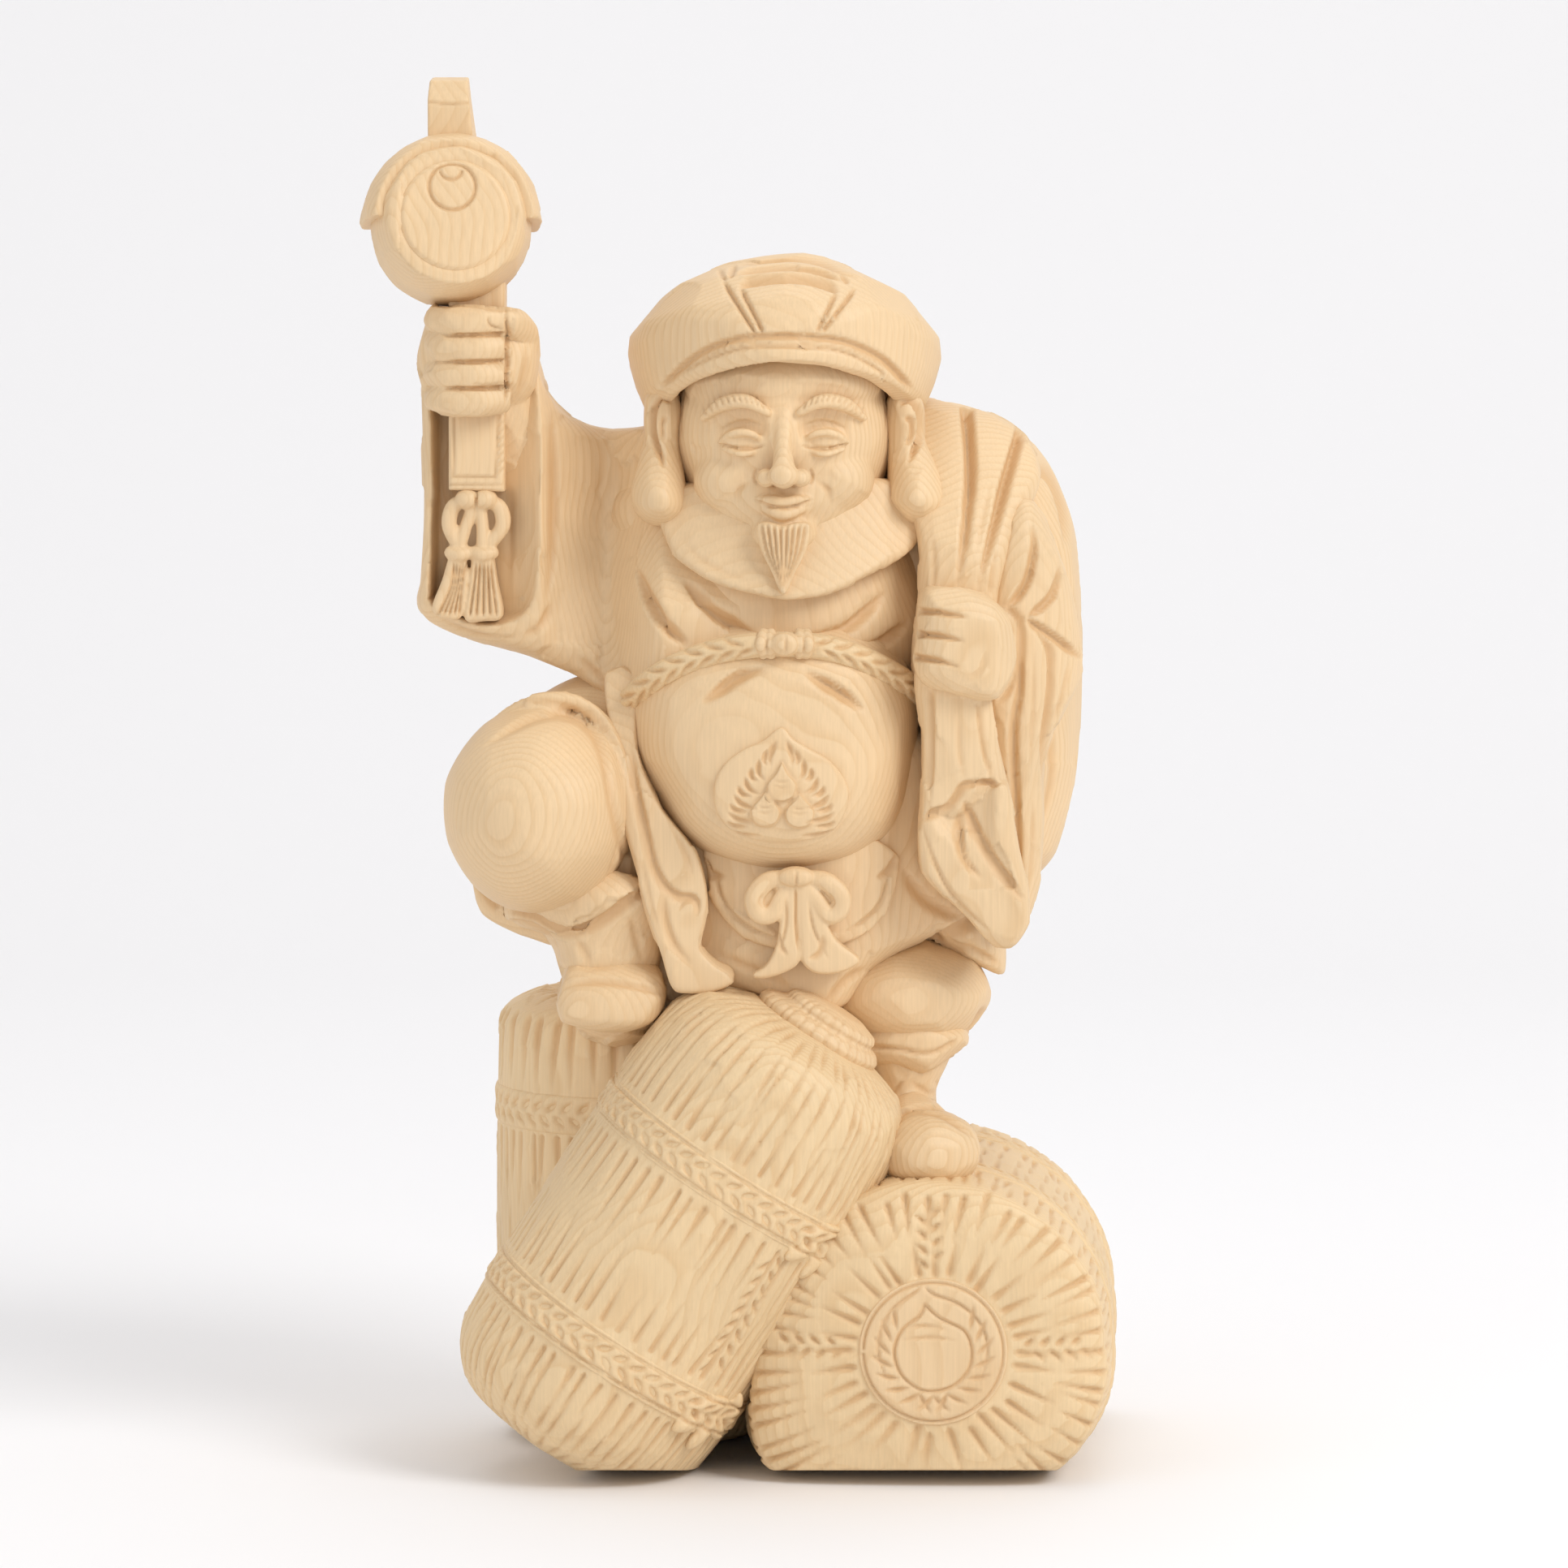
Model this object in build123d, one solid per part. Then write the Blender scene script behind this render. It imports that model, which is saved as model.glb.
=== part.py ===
"""Carved wooden figure of a smiling household god: he stands on three straw rice bales, raises a
mallet in his right hand and holds a sack over his left shoulder.

Frame: millimetres, +Z up, the figure looks along -Y, origin on the floor under the middle of the
whole carving. "Right" and "left" in the names of limbs are the figure's own; x grows to the
viewer's right. Every block is first made whole. Then each is cut back to the blocks that were made
before it, so that they meet face to face as glued blocks do, and hidden dowels join them.
"""

import os

from build123d import *

# ---------------------------------------------------------------- driving dimensions
TOTAL_HEIGHT = 303.0            # floor to the top of the mallet's finial
CENTRE_X = 9.0                  # the upright line through head, belt knot and bow
BALE_FRONT_TILT = 33.0          # degrees from upright, top leaning to +X
BALE_FRONT_CENTRE = (-13, -25.5, 51)
BALE_FRONT_LENGTH = 106.0
BALE_FRONT_RADIUS = 31.0
BALE_RIGHT_CENTRE = (42.5, 4.3, 31.5)
BALE_RIGHT_LENGTH = 102.6
BALE_RIGHT_RADIUS = 38.5
BALE_RIGHT_TURN = -3.0          # degrees about Z
BALE_REAR_CENTRE = (-23, 20, 50)
BALE_REAR_LENGTH = 100.0
BALE_REAR_RADIUS = 31.5
ROPE_WIDTH = 8.0
ROPE_SINK = 1.6                 # depth of the groove that a rope band lies in
ROPE_PROUD = 1.0                # how far a rope band stands out of the straw
DOWEL_RADIUS = 3.0
NECK_DOWEL_RADIUS = 4.0
MALLET_CENTRE = (-62.7, -11, 269.5)
MALLET_RADIUS = 16.8
MALLET_LENGTH = 31.0
MALLET_TURN = (-6.0, 0.0, 6.0)  # the drum's face looks a little up and to the viewer's left
HANDLE_SIDE = 12.5
HANDLE_LENGTH = 52.0
HANDLE_CENTRE = (-56.9, -12.0, 237.5)
HAT_TILT = -17.5                # degrees about X: the hat sits tipped back
SMALLEST_CHIP = 1.0             # cubic mm: a cut's crumbs under this are brushed off

UPRIGHT = (0, 0, 0)
ALONG_X = (0, 90, 0)
ALONG_Y = (90, 0, 0)


# ---------------------------------------------------------------- shape helpers
def egg(centre, radius, half_length, turn=UPRIGHT):
    """A round body turned about its own axis: its side and its two tips are tangent arcs."""
    tip_radius = radius + 0.8 * (radius**2 / half_length - radius)
    tip_y = half_length - tip_radius
    side_radius = (radius**2 - tip_radius**2 + tip_y**2) / (2 * (radius - tip_radius))
    tip_centre, side_centre = Vector(0, tip_y), Vector(radius - side_radius, 0)
    if side_radius > tip_radius:
        joint = side_centre + (tip_centre - side_centre).normalized() * side_radius
    else:
        joint = tip_centre + (side_centre - tip_centre).normalized() * tip_radius
    top = TangentArc((0, half_length), (joint.X, joint.Y), tangent=(1, 0))
    side = TangentArc((joint.X, joint.Y), (joint.X, -joint.Y), tangent=top % 1)
    foot = TangentArc((joint.X, -joint.Y), (0, -half_length), tangent=side % 1)
    outline = top + side + foot + Line((0, -half_length), (0, half_length))
    body = revolve(Plane.XZ * make_face(outline), Axis.Z)
    return Pos(*centre) * Rot(*turn) * body


def slab(outline, y_front, y_back, rounding):
    """A board cut to an XZ outline, from y_front to y_back, with its front and back edges rounded."""
    sketch = Plane.XZ * make_face(Polyline(*outline, close=True))
    board = Pos(0, y_back, 0) * extrude(sketch, y_back - y_front)
    if rounding:
        board = fillet(board.edges().filter_by(Plane.XZ), rounding)
    return board


def flared(centre_xy, stations):
    """A body turned about an upright line, through (height, radius) stations."""
    low, high = stations[0], stations[-1]
    side = Spline(*[(radius, height) for height, radius in stations])
    outline = side + Polyline(
        (high[1], high[0]), (0, high[0]), (0, low[0]), (low[1], low[0])
    )
    face = Plane.XZ * make_face(outline)
    return Pos(centre_xy[0], centre_xy[1], 0) * revolve(face, Axis.Z)


def straw_barrel(length, radius):
    """A bale along Z: bulged side, and ends rounded down to a flat face."""
    half = length / 2
    face_radius, shoulder_radius, shoulder = 0.5 * radius, 0.9 * radius, 0.3 * radius
    bend_radius, bend_drop = 0.79 * radius, 0.26 * shoulder
    low_face, low_shoulder = (face_radius, -half), (shoulder_radius, -half + shoulder)
    high_face, high_shoulder = (face_radius, half), (shoulder_radius, half - shoulder)
    outline = (
        Polyline((0, -half), low_face)
        + ThreePointArc(low_face, (bend_radius, -half + bend_drop), low_shoulder)
        + ThreePointArc(low_shoulder, (radius, 0), high_shoulder)
        + ThreePointArc(high_shoulder, (bend_radius, half - bend_drop), high_face)
        + Polyline(high_face, (0, half), (0, -half))
    )
    return revolve(Plane.XZ * make_face(outline), Axis.Z)


def rope_bands(place, heights, radius):
    """Flat rings round a bale at those heights along its axis."""
    ring = Cylinder(radius + ROPE_PROUD, ROPE_WIDTH) - Cylinder(radius - ROPE_SINK, ROPE_WIDTH + 2)
    return [place * Pos(0, 0, height) * ring for height in heights]


def dowel(start, end, radius=DOWEL_RADIUS):
    """A straight dowel between two points."""
    line = Vector(*end) - Vector(*start)
    return Solid.make_cylinder(radius, line.length, Plane(Vector(*start), z_dir=line))


# Every block by name, as a list of whole shapes. A block gives way to the blocks above it.
blocks = {}


# ---------------------------------------------------------------- hidden dowels
blocks["hidden_dowels"] = [
    dowel((9, -6, 180), (10, -9, 214), NECK_DOWEL_RADIUS),
    dowel((38, -10, 48), (37.5, -10, 78)),
    dowel((-31, 0, 84), (-31, 0, 112)),
    dowel((-12, 2, 196), (-32, 1, 196)),
    dowel((18, -6, 190), (36, 14, 190)),
    dowel((20, 0, 150), (38, 18, 150)),
    dowel((-13, -20, 40), (-22, 12, 40)),
    dowel((-8, -24, 22), (26, -8, 22)),
]


# ---------------------------------------------------------------- the three bales
front_place = Pos(*BALE_FRONT_CENTRE) * Rot(0, BALE_FRONT_TILT, 0)
front_end = BALE_FRONT_LENGTH / 2
blocks["bale_front_ropes"] = rope_bands(front_place, (18, -26), BALE_FRONT_RADIUS - 0.6)
lid_rim = Pos(0, 0, front_end + 0.5) * Cylinder(13.5, 3.0)
lid_button = Pos(-1.5, 0, front_end + 3.0) * Cylinder(8.5, 2.0)
blocks["bale_front_lid"] = [front_place * (lid_rim + lid_button)]
blocks["bale_front"] = [front_place * straw_barrel(BALE_FRONT_LENGTH, BALE_FRONT_RADIUS)]

right_place = Pos(*BALE_RIGHT_CENTRE) * Rot(0, 0, BALE_RIGHT_TURN) * Rot(90, 0, 0)
right_end = BALE_RIGHT_LENGTH / 2
blocks["bale_right_ropes"] = rope_bands(right_place, (25, -24), BALE_RIGHT_RADIUS - 0.8)
blocks["bale_right_disc"] = [right_place * Pos(-1.0, 0, right_end - 0.5) * Cylinder(14.4, 2.0)]
blocks["bale_right"] = [right_place * straw_barrel(BALE_RIGHT_LENGTH, BALE_RIGHT_RADIUS)]

rear_place = Pos(*BALE_REAR_CENTRE)
blocks["bale_rear_left_ropes"] = rope_bands(rear_place, (25, -22), BALE_REAR_RADIUS - 0.6)
blocks["bale_rear_left"] = [rear_place * straw_barrel(BALE_REAR_LENGTH, BALE_REAR_RADIUS)]


# ---------------------------------------------------------------- hat, head, ears and beard
hat_place = Pos(9.2, -7, 240) * Rot(HAT_TILT, 0, 0)
hat_dome = hat_place * egg((0, 0, 0), 32.8, 20)
hat_floor = hat_place * Pos(0, 0, -32) * Box(120, 120, 60)
blocks["hat"] = [hat_dome - hat_floor]
blocks["head"] = [egg((10.8, -11, 221), 23.3, 21)]
for side, shell_x, lobe_x in (("right", -17.0, -16.5), ("left", 38.4, 38.5)):
    shell = egg((shell_x, -6, 226), 5.5, 8.5)
    lobe = egg((lobe_x, -10, 212), 6.3, 8.0)
    blocks[f"ear_{side}"] = [shell + lobe]
beard_point = scale(Rot(180, 0, 0) * Cone(6.2, 0.5, 18), by=(1, 0.7, 1))
blocks["beard"] = [Pos(CENTRE_X + 0.3, -33.5, 199.5) * Rot(6, 0, 0) * beard_point]


# ---------------------------------------------------------------- mallet, fist and tassel
drum_place = Pos(*MALLET_CENTRE) * Rot(*MALLET_TURN) * Rot(90, 0, 0)
drum_end = MALLET_LENGTH / 2
front_rim, back_rim = (14.4, drum_end), (13.5, -drum_end)
drum_outline = (
    Polyline((0, -drum_end), back_rim)
    + ThreePointArc(back_rim, (MALLET_RADIUS, 0), front_rim)
    + Polyline(front_rim, (0, drum_end), (0, -drum_end))
)
blocks["mallet_handle"] = [Pos(*HANDLE_CENTRE) * Box(HANDLE_SIDE, 11, HANDLE_LENGTH)]
blocks["mallet_face"] = [drum_place * Pos(0, 0, drum_end) * Cylinder(12.4, 1.2)]
blocks["mallet_drum"] = [drum_place * revolve(Plane.XZ * make_face(drum_outline), Axis.Z)]
band_ring = Cylinder(19.2, 11) - Cylinder(MALLET_RADIUS + 0.2, 13)
band_upper = band_ring & (Pos(0, 20, 0) * Box(60, 40, 20))
blocks["mallet_band"] = [drum_place * Pos(0, 0, -2) * band_upper]
finial_height = 12.6
finial_profile = [
    (-6, -1), (-6.4, 6), (-3.6, finial_height), (3.6, finial_height), (5.6, 0.2), (5.6, -1),
]
finial_face = Plane.YZ * make_face(Polyline(*finial_profile, close=True))
finial_place = Pos(-67.5, -9.5, TOTAL_HEIGHT - finial_height)
blocks["mallet_finial"] = [finial_place * extrude(finial_face, 9.0)]
fist = Pos(-56.9, -12, 239.4) * Box(25, 22, 26)
blocks["right_fist"] = [fillet(fist.edges(), 8)]
tassel_outline = [(-62, 211.4), (-52, 211.4), (-50.5, 197), (-51, 184.5), (-67, 184.5), (-64, 197)]
blocks["mallet_tassel"] = [slab(tassel_outline, -17, -8, 1.5)]


# ---------------------------------------------------------------- belly, crest, belt, bow and apron
belly_centre = (7.5, -9, 152)
blocks["belly"] = [egg(belly_centre, 31, 21.5)]
crest_outline = [
    (8.3, 163), (-2, 155), (-4.5, 148), (-1, 140), (8.3, 136), (18, 140), (21.5, 148), (19, 155),
]
crest_skin = egg(belly_centre, 32.2, 22.7)
blocks["belly_crest"] = [slab(crest_outline, -50, -20, 0) & crest_skin]
belt_knot = Pos(CENTRE_X, -38.2, 179.2) * Box(11, 5, 5)
blocks["belt_knot"] = [fillet(belt_knot.edges(), 1)]
belt_path = ThreePointArc((-25.5, -20, 165), (CENTRE_X, -37, 179.5), (37.5, -27, 170.5))
belt_section = Plane(belt_path @ 0, z_dir=belt_path % 0) * Circle(2.3)
blocks["rope_belt"] = [sweep(belt_section, path=belt_path)]
bow = Pos(11.5, -33, 129.5) * Box(7, 4, 4.5)
for loop_x in (4.3, 19.2):
    bow += Pos(loop_x, -33, 125) * Rot(*ALONG_Y) * Cylinder(4.8, 4)
for tail_outline in (
    [(11.2, 128), (5.5, 119), (3, 109), (10, 112)],
    [(11.8, 128), (19, 119), (24.5, 111), (13, 112)],
):
    bow += slab(tail_outline, -35, -31, 0)
blocks["waist_bow"] = [bow]
apron_outline = [(-9, 134), (33, 134), (29, 122), (21, 116), (11.5, 114), (2, 116), (-5, 123)]
blocks["apron"] = [slab(apron_outline, -32, -16, 1.5)]
flap_outline = [(-27, 164), (-21, 164), (-17, 142), (-7, 116), (-9, 106), (-15, 109), (-21, 132)]
blocks["robe_flap"] = [slab(flap_outline, -33, 0, 2)]


# ---------------------------------------------------------------- left hand, sack mouth and sleeve
hand_outline = [(36, 169), (35, 191), (47, 191.5), (60, 184), (58, 169)]
blocks["left_hand"] = [slab(hand_outline, -44, -24, 5)]
neck_high = Plane((47, -3, 222), z_dir=(0, 0.2, 1)) * Ellipse(15, 11)
neck_low = Plane((46, -31, 180), z_dir=(0, 0.2, 1)) * Ellipse(10, 8)
blocks["sack_neck"] = [loft([neck_high, neck_low])]
sack_tail_outline = [(37, 172), (54, 172), (58, 150), (61.5, 121), (55, 115.5), (46, 122), (38, 140)]
blocks["sack_tail"] = [slab(sack_tail_outline, -37, -22, 4)]
left_sleeve_outline = [
    (54, 188), (57, 206), (64, 202), (71.5, 177), (66, 160), (63, 140), (60, 118), (54, 128),
    (53, 160),
]
blocks["left_sleeve"] = [slab(left_sleeve_outline, -26, 6, 2.5)]


# ---------------------------------------------------------------- legs and boots
left_foot = egg((40.5, -25, 70), 9.5, 15, ALONG_Y)
left_ankle = flared((37.5, -11), [(66, 8), (74, 6.5), (80, 6), (86, 8.5), (90, 12)])
blocks["left_boot"] = [left_foot + left_ankle]
blocks["left_leg"] = [egg((34, -4, 101), 20, 13.5)]
knee = egg((-43.5, -20, 143), 21.5, 27, ALONG_Y)
thigh = egg((-27, 2, 146), 22, 28, ALONG_X)
blocks["right_leg"] = [knee + thigh]
right_foot = egg((-26.5, -10, 103), 10.5, 17, ALONG_Y)
right_ankle = flared((-31, -2), [(98, 12), (106, 11), (112, 11.5), (119, 16), (124, 21)])
blocks["right_boot"] = [right_foot + right_ankle]


# ---------------------------------------------------------------- robe with collar and raised sleeve
blocks["collar"] = [egg((9.5, -14, 202), 23.5, 13)]
torso = egg((8, 2, 172), 31, 49)
skirt = egg((15, 2, 128), 27, 38, ALONG_X)
blocks["robe"] = [torso + skirt]
raised_sleeve_outline = [
    (-70, 186), (-69, 212), (-67.5, 240), (-61, 250), (-49, 251), (-43, 232), (-37, 227),
    (-24, 225), (0, 222), (4, 168), (-27, 165), (-38, 171), (-56, 178), (-66, 181),
]
sleeve_mouth = Pos(-57.5, -12, 217) * Box(20, 17, 66)
blocks["right_sleeve"] = [slab(raised_sleeve_outline, -14, 14, 5) - sleeve_mouth]


# ---------------------------------------------------------------- sack
blocks["sack_body"] = [egg((42, 21, 178), 31.6, 51.5)]


# ---------------------------------------------------------------- seat every block on its neighbours
def boxes_meet(first, second):
    """Whether the upright boxes round two shapes overlap."""
    a, b = first.bounding_box(), second.bounding_box()
    gaps = [a.min - b.max, b.min - a.max]
    return all(max(gap.X, gap.Y, gap.Z) < 0 for gap in gaps)


floor_block = Pos(0, 0, -100) * Box(400, 400, 200)
earlier_shapes = [floor_block]
os.makedirs("parts", exist_ok=True)
for name, shapes in blocks.items():
    seated = []
    for shape in shapes:
        for earlier in earlier_shapes:
            if boxes_meet(shape, earlier):
                shape = shape - earlier
        seated += [solid for solid in shape.solids() if solid.volume > SMALLEST_CHIP]
    earlier_shapes += shapes
    export_step(Compound(children=seated), f"parts/{name}.step")
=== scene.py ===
import math

import bpy
import numpy as np
from mathutils import Matrix, Vector


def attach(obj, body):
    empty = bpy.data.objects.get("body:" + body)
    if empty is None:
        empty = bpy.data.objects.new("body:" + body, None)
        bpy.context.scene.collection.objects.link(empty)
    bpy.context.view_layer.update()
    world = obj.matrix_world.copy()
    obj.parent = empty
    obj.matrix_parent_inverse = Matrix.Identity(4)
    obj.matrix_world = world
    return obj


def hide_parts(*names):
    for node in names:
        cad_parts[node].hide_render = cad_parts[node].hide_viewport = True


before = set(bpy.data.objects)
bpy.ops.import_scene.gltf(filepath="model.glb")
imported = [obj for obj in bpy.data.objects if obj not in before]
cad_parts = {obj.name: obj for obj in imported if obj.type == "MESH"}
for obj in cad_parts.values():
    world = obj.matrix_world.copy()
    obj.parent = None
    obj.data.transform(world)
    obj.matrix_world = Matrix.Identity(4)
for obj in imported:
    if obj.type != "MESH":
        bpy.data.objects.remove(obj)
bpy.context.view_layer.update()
MM = 0.001


# ---------------------------------------------------------------- camera
# The figure is seen from the front, five degrees above level, from a metre and a half away. A long
# lens on a 36 mm frame keeps the uprights straight.
aim = Vector((9, 0, 147)) * MM
camera_distance, camera_height_angle = 1.5, math.radians(5)
to_camera = Vector((0, -math.cos(camera_height_angle), math.sin(camera_height_angle)))
bpy.ops.object.camera_add(location=aim + to_camera * camera_distance)
camera = bpy.context.object
camera.rotation_euler = (-to_camera).to_track_quat("-Z", "Y").to_euler()
camera.data.sensor_width = 36
camera.data.lens = 157.6
camera.data.clip_end = 20
bpy.context.scene.camera = camera


# ---------------------------------------------------------------- sweep of pale paper, and soft lights
# The carving stands on a long sheet of off-white paper that curves up behind it. A big soft box
# stands high on the right, a weaker one on the left, and white walls give the rest of the light.
def linear(hex_colour):
    """A linear RGBA colour from an sRGB hex value."""
    parts = [int(hex_colour[i:i + 2], 16) / 255 for i in (1, 3, 5)]
    return [c / 12.92 if c <= 0.04045 else ((c + 0.055) / 1.055) ** 2.4 for c in parts] + [1.0]


def node(tree, kind, links=None, **settings):
    """Adds a node, sets its settings and its input values, and links the inputs that it is given."""
    made = tree.nodes.new(kind)
    for key, value in settings.items():
        setattr(made, key, value)
    for socket, source in (links or {}).items():
        if isinstance(source, bpy.types.NodeSocket):
            tree.links.new(source, made.inputs[socket])
        else:
            made.inputs[socket].default_value = source
    return made


def plain_material(name, colour, roughness):
    """A single flat colour with an even surface."""
    material = bpy.data.materials.new(name)
    material.use_nodes = True
    surface = material.node_tree.nodes["Principled BSDF"]
    surface.inputs["Base Color"].default_value = linear(colour)
    surface.inputs["Roughness"].default_value = roughness
    return material


bpy.ops.object.select_all(action="DESELECT")
bpy.ops.mesh.primitive_plane_add(size=6, location=(0, -1.2, 0))
paper = bpy.context.object
paper.name = "paper_sweep"
bpy.ops.object.transform_apply()
bpy.ops.object.mode_set(mode="EDIT")
bpy.ops.mesh.select_all(action="DESELECT")
bpy.ops.object.mode_set(mode="OBJECT")
for edge in paper.data.edges:
    edge.select = all(paper.data.vertices[i].co.y > 1.7 for i in edge.vertices)
bpy.ops.object.mode_set(mode="EDIT")
bpy.ops.mesh.select_mode(type="EDGE")
bpy.ops.mesh.extrude_region_move(TRANSFORM_OT_translate={"value": (0, 0, 3)})
bpy.ops.object.mode_set(mode="OBJECT")
curve_up = paper.modifiers.new("curve_up", "BEVEL")
curve_up.width, curve_up.segments, curve_up.limit_method = 0.9, 24, "ANGLE"
bpy.ops.object.modifier_apply(modifier="curve_up")
bpy.ops.object.shade_smooth()
paper.data.materials.append(plain_material("matt_white_paper", "#F2F1F1", 0.9))


def soft_box(name, place, width, power, colour):
    """A square light, its width in metres and power in watts, turned to the figure."""
    bpy.ops.object.light_add(type="AREA", location=place)
    box = bpy.context.object
    box.name = name
    box.data.shape, box.data.size, box.data.energy = "SQUARE", width, power
    box.data.color = linear(colour)[:3]
    box.rotation_euler = (aim - box.location).to_track_quat("-Z", "Y").to_euler()


soft_box("key_soft_box", (1.15, -1.0, 1.25), 0.8, 17, "#FFFFFF")
soft_box("fill_soft_box", (-1.5, -1.3, 0.7), 1.4, 5, "#FFFFFF")
soft_box("back_wall_light", (0.0, 0.6, 2.0), 1.6, 9, "#FFFFFF")
world = bpy.data.worlds.new("white_room")
bpy.context.scene.world = world
world.use_nodes = True
world.node_tree.nodes["Background"].inputs["Color"].default_value = linear("#F3F3F5")
world.node_tree.nodes["Background"].inputs["Strength"].default_value = 0.74
bpy.context.scene.view_settings.view_transform = "Standard"


# ---------------------------------------------------------------- the wood
# Slow-grown pale cypress, cut by knife and left bare. Its growth rings are about a millimetre apart
# round a pith that lay well behind the figure, so each swelling shows them like a map's contours.
def carved_wood(name, pale, late, cut_shade_colour, ring_mm=1.15, pith=(25, 150), roughness=0.5):
    material = bpy.data.materials.new(name)
    material.use_nodes = True
    tree = material.node_tree
    surface = tree.nodes["Principled BSDF"]
    place = node(tree, "ShaderNodeTexCoord").outputs["Object"]
    # Object coordinates in millimetres, with the pith as the upright axis.
    from_pith = node(tree, "ShaderNodeMapping", {
        "Vector": place, "Location": (-pith[0], -pith[1], 0), "Scale": (1000, 1000, 1000),
    }).outputs[0]
    # The rings wander by a few millimetres up the log, and by tenths of one close to.
    slow = node(tree, "ShaderNodeTexNoise", {"Vector": from_pith, "Scale": 0.018, "Detail": 2.0})
    quick_bend = node(tree, "ShaderNodeTexNoise", {"Vector": from_pith, "Scale": 0.11, "Detail": 1.0})
    flat = node(tree, "ShaderNodeVectorMath", {0: from_pith, 1: (1, 1, 0)}, operation="MULTIPLY")
    radius = node(tree, "ShaderNodeVectorMath", {0: flat.outputs[0]}, operation="LENGTH").outputs["Value"]
    bent = node(tree, "ShaderNodeMath", {0: slow.outputs[0], 1: 16.0, 2: radius}, operation="MULTIPLY_ADD")
    bent = node(tree, "ShaderNodeMath", {
        0: quick_bend.outputs[0], 1: 0.7, 2: bent.outputs[0],
    }, operation="MULTIPLY_ADD")
    count = node(tree, "ShaderNodeMath", {0: bent.outputs[0], 1: 1 / ring_mm}, operation="MULTIPLY")
    ring = node(tree, "ShaderNodeMath", {0: count.outputs[0]}, operation="FRACT").outputs[0]
    # Early wood is wide and pale; late wood is a thin darker line that starts soft and ends sharp.
    ramp = node(tree, "ShaderNodeValToRGB", {"Fac": ring})
    ramp.color_ramp.elements[0].position, ramp.color_ramp.elements[0].color = 0.0, (0, 0, 0, 1)
    ramp.color_ramp.elements[1].position, ramp.color_ramp.elements[1].color = 1.0, (0, 0, 0, 1)
    for position, value in ((0.42, 0.04), (0.78, 0.7), (0.9, 1.0)):
        element = ramp.color_ramp.elements.new(position)
        element.color = (value, value, value, 1)
    # Some bands of years are stronger than others.
    years = node(tree, "ShaderNodeTexNoise", {"Vector": from_pith, "Scale": 0.05, "Detail": 2.0})
    strength = node(tree, "ShaderNodeMapRange", {
        "Value": years.outputs[0], 1: 0.3, 2: 0.75, 3: 0.12, 4: 0.55,
    })
    line = node(tree, "ShaderNodeMath", {0: ramp.outputs[0], 1: strength.outputs[0]}, operation="MULTIPLY")
    # Fibres are drawn 0.5 mm wide and many times as long; real ones are too fine to show.
    along_grain = node(tree, "ShaderNodeMapping", {"Vector": from_pith, "Scale": (2.0, 2.0, 0.06)})
    fibre = node(tree, "ShaderNodeTexNoise", {"Vector": along_grain.outputs[0], "Scale": 1.0, "Detail": 3.0})
    tone = node(tree, "ShaderNodeTexNoise", {"Vector": from_pith, "Scale": 0.03, "Detail": 3.0})
    base = node(tree, "ShaderNodeMix", {
        "Factor": line.outputs[0], 6: linear(pale), 7: linear(late),
    }, data_type="RGBA").outputs[2]
    fibre_shade = node(tree, "ShaderNodeMapRange",
        {"Value": fibre.outputs[0], 1: 0.3, 2: 0.7, 3: 0.955, 4: 1.03})
    tone_shade = node(tree, "ShaderNodeMapRange", {"Value": tone.outputs[0], 1: 0.3, 2: 0.7, 3: 0.95, 4: 1.04})
    shade = node(tree, "ShaderNodeMath", {
        0: fibre_shade.outputs[0], 1: tone_shade.outputs[0],
    }, operation="MULTIPLY")
    base = node(tree, "ShaderNodeVectorMath", {0: base, 1: shade.outputs[0]}, operation="MULTIPLY").outputs[0]
    # Knife cuts get a darker, warmer colour by their depth: painted shade that stands for the shade falling in
    # the grooves.
    cut = node(tree, "ShaderNodeAttribute", attribute_name="cut").outputs["Fac"]
    base = node(tree, "ShaderNodeMix", {"Factor": cut, 6: base, 7: linear(cut_shade_colour)},
        data_type="RGBA").outputs[2]
    tree.links.new(base, surface.inputs["Base Color"])
    sheen = node(tree, "ShaderNodeMapRange", {
        "Value": fibre.outputs[0], 1: 0.3, 2: 0.7, 3: roughness - 0.05, 4: roughness + 0.08,
    })
    tree.links.new(sheen.outputs[0], surface.inputs["Roughness"])
    surface.inputs["Specular IOR Level"].default_value = 0.4
    grain_height = node(tree, "ShaderNodeMath", {
        0: fibre.outputs[0], 1: 0.6, 2: line.outputs[0],
    }, operation="MULTIPLY_ADD")
    bump = node(tree, "ShaderNodeBump", {
        "Height": grain_height.outputs[0], "Strength": 0.35, "Distance": 0.00008,
    })
    tree.links.new(bump.outputs[0], surface.inputs["Normal"])
    return material


# The last colour of each wood is painted shade, laid into the knife cuts by their depth.
figure_wood = carved_wood("knife_cut_cypress", "#E3C59B", "#D3AC7A", "#CDA06C")
straw_wood = carved_wood("scored_cypress", "#E3C79C", "#D4AE7C", "#CB9D69", roughness=0.55)


# ---------------------------------------------------------------- front bale
# A rice bale of straw, leaning across the front, cut from one block: a bulged barrel whose straw is
# rows of wedge-shaped knife cuts that start at the ropes and run out to a point. It is
# glued and dowelled to the other two bales.
def only(piece):
    """Selects this piece alone and makes it the active one."""
    bpy.ops.object.select_all(action="DESELECT")
    piece.select_set(True)
    bpy.context.view_layer.objects.active = piece


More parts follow.
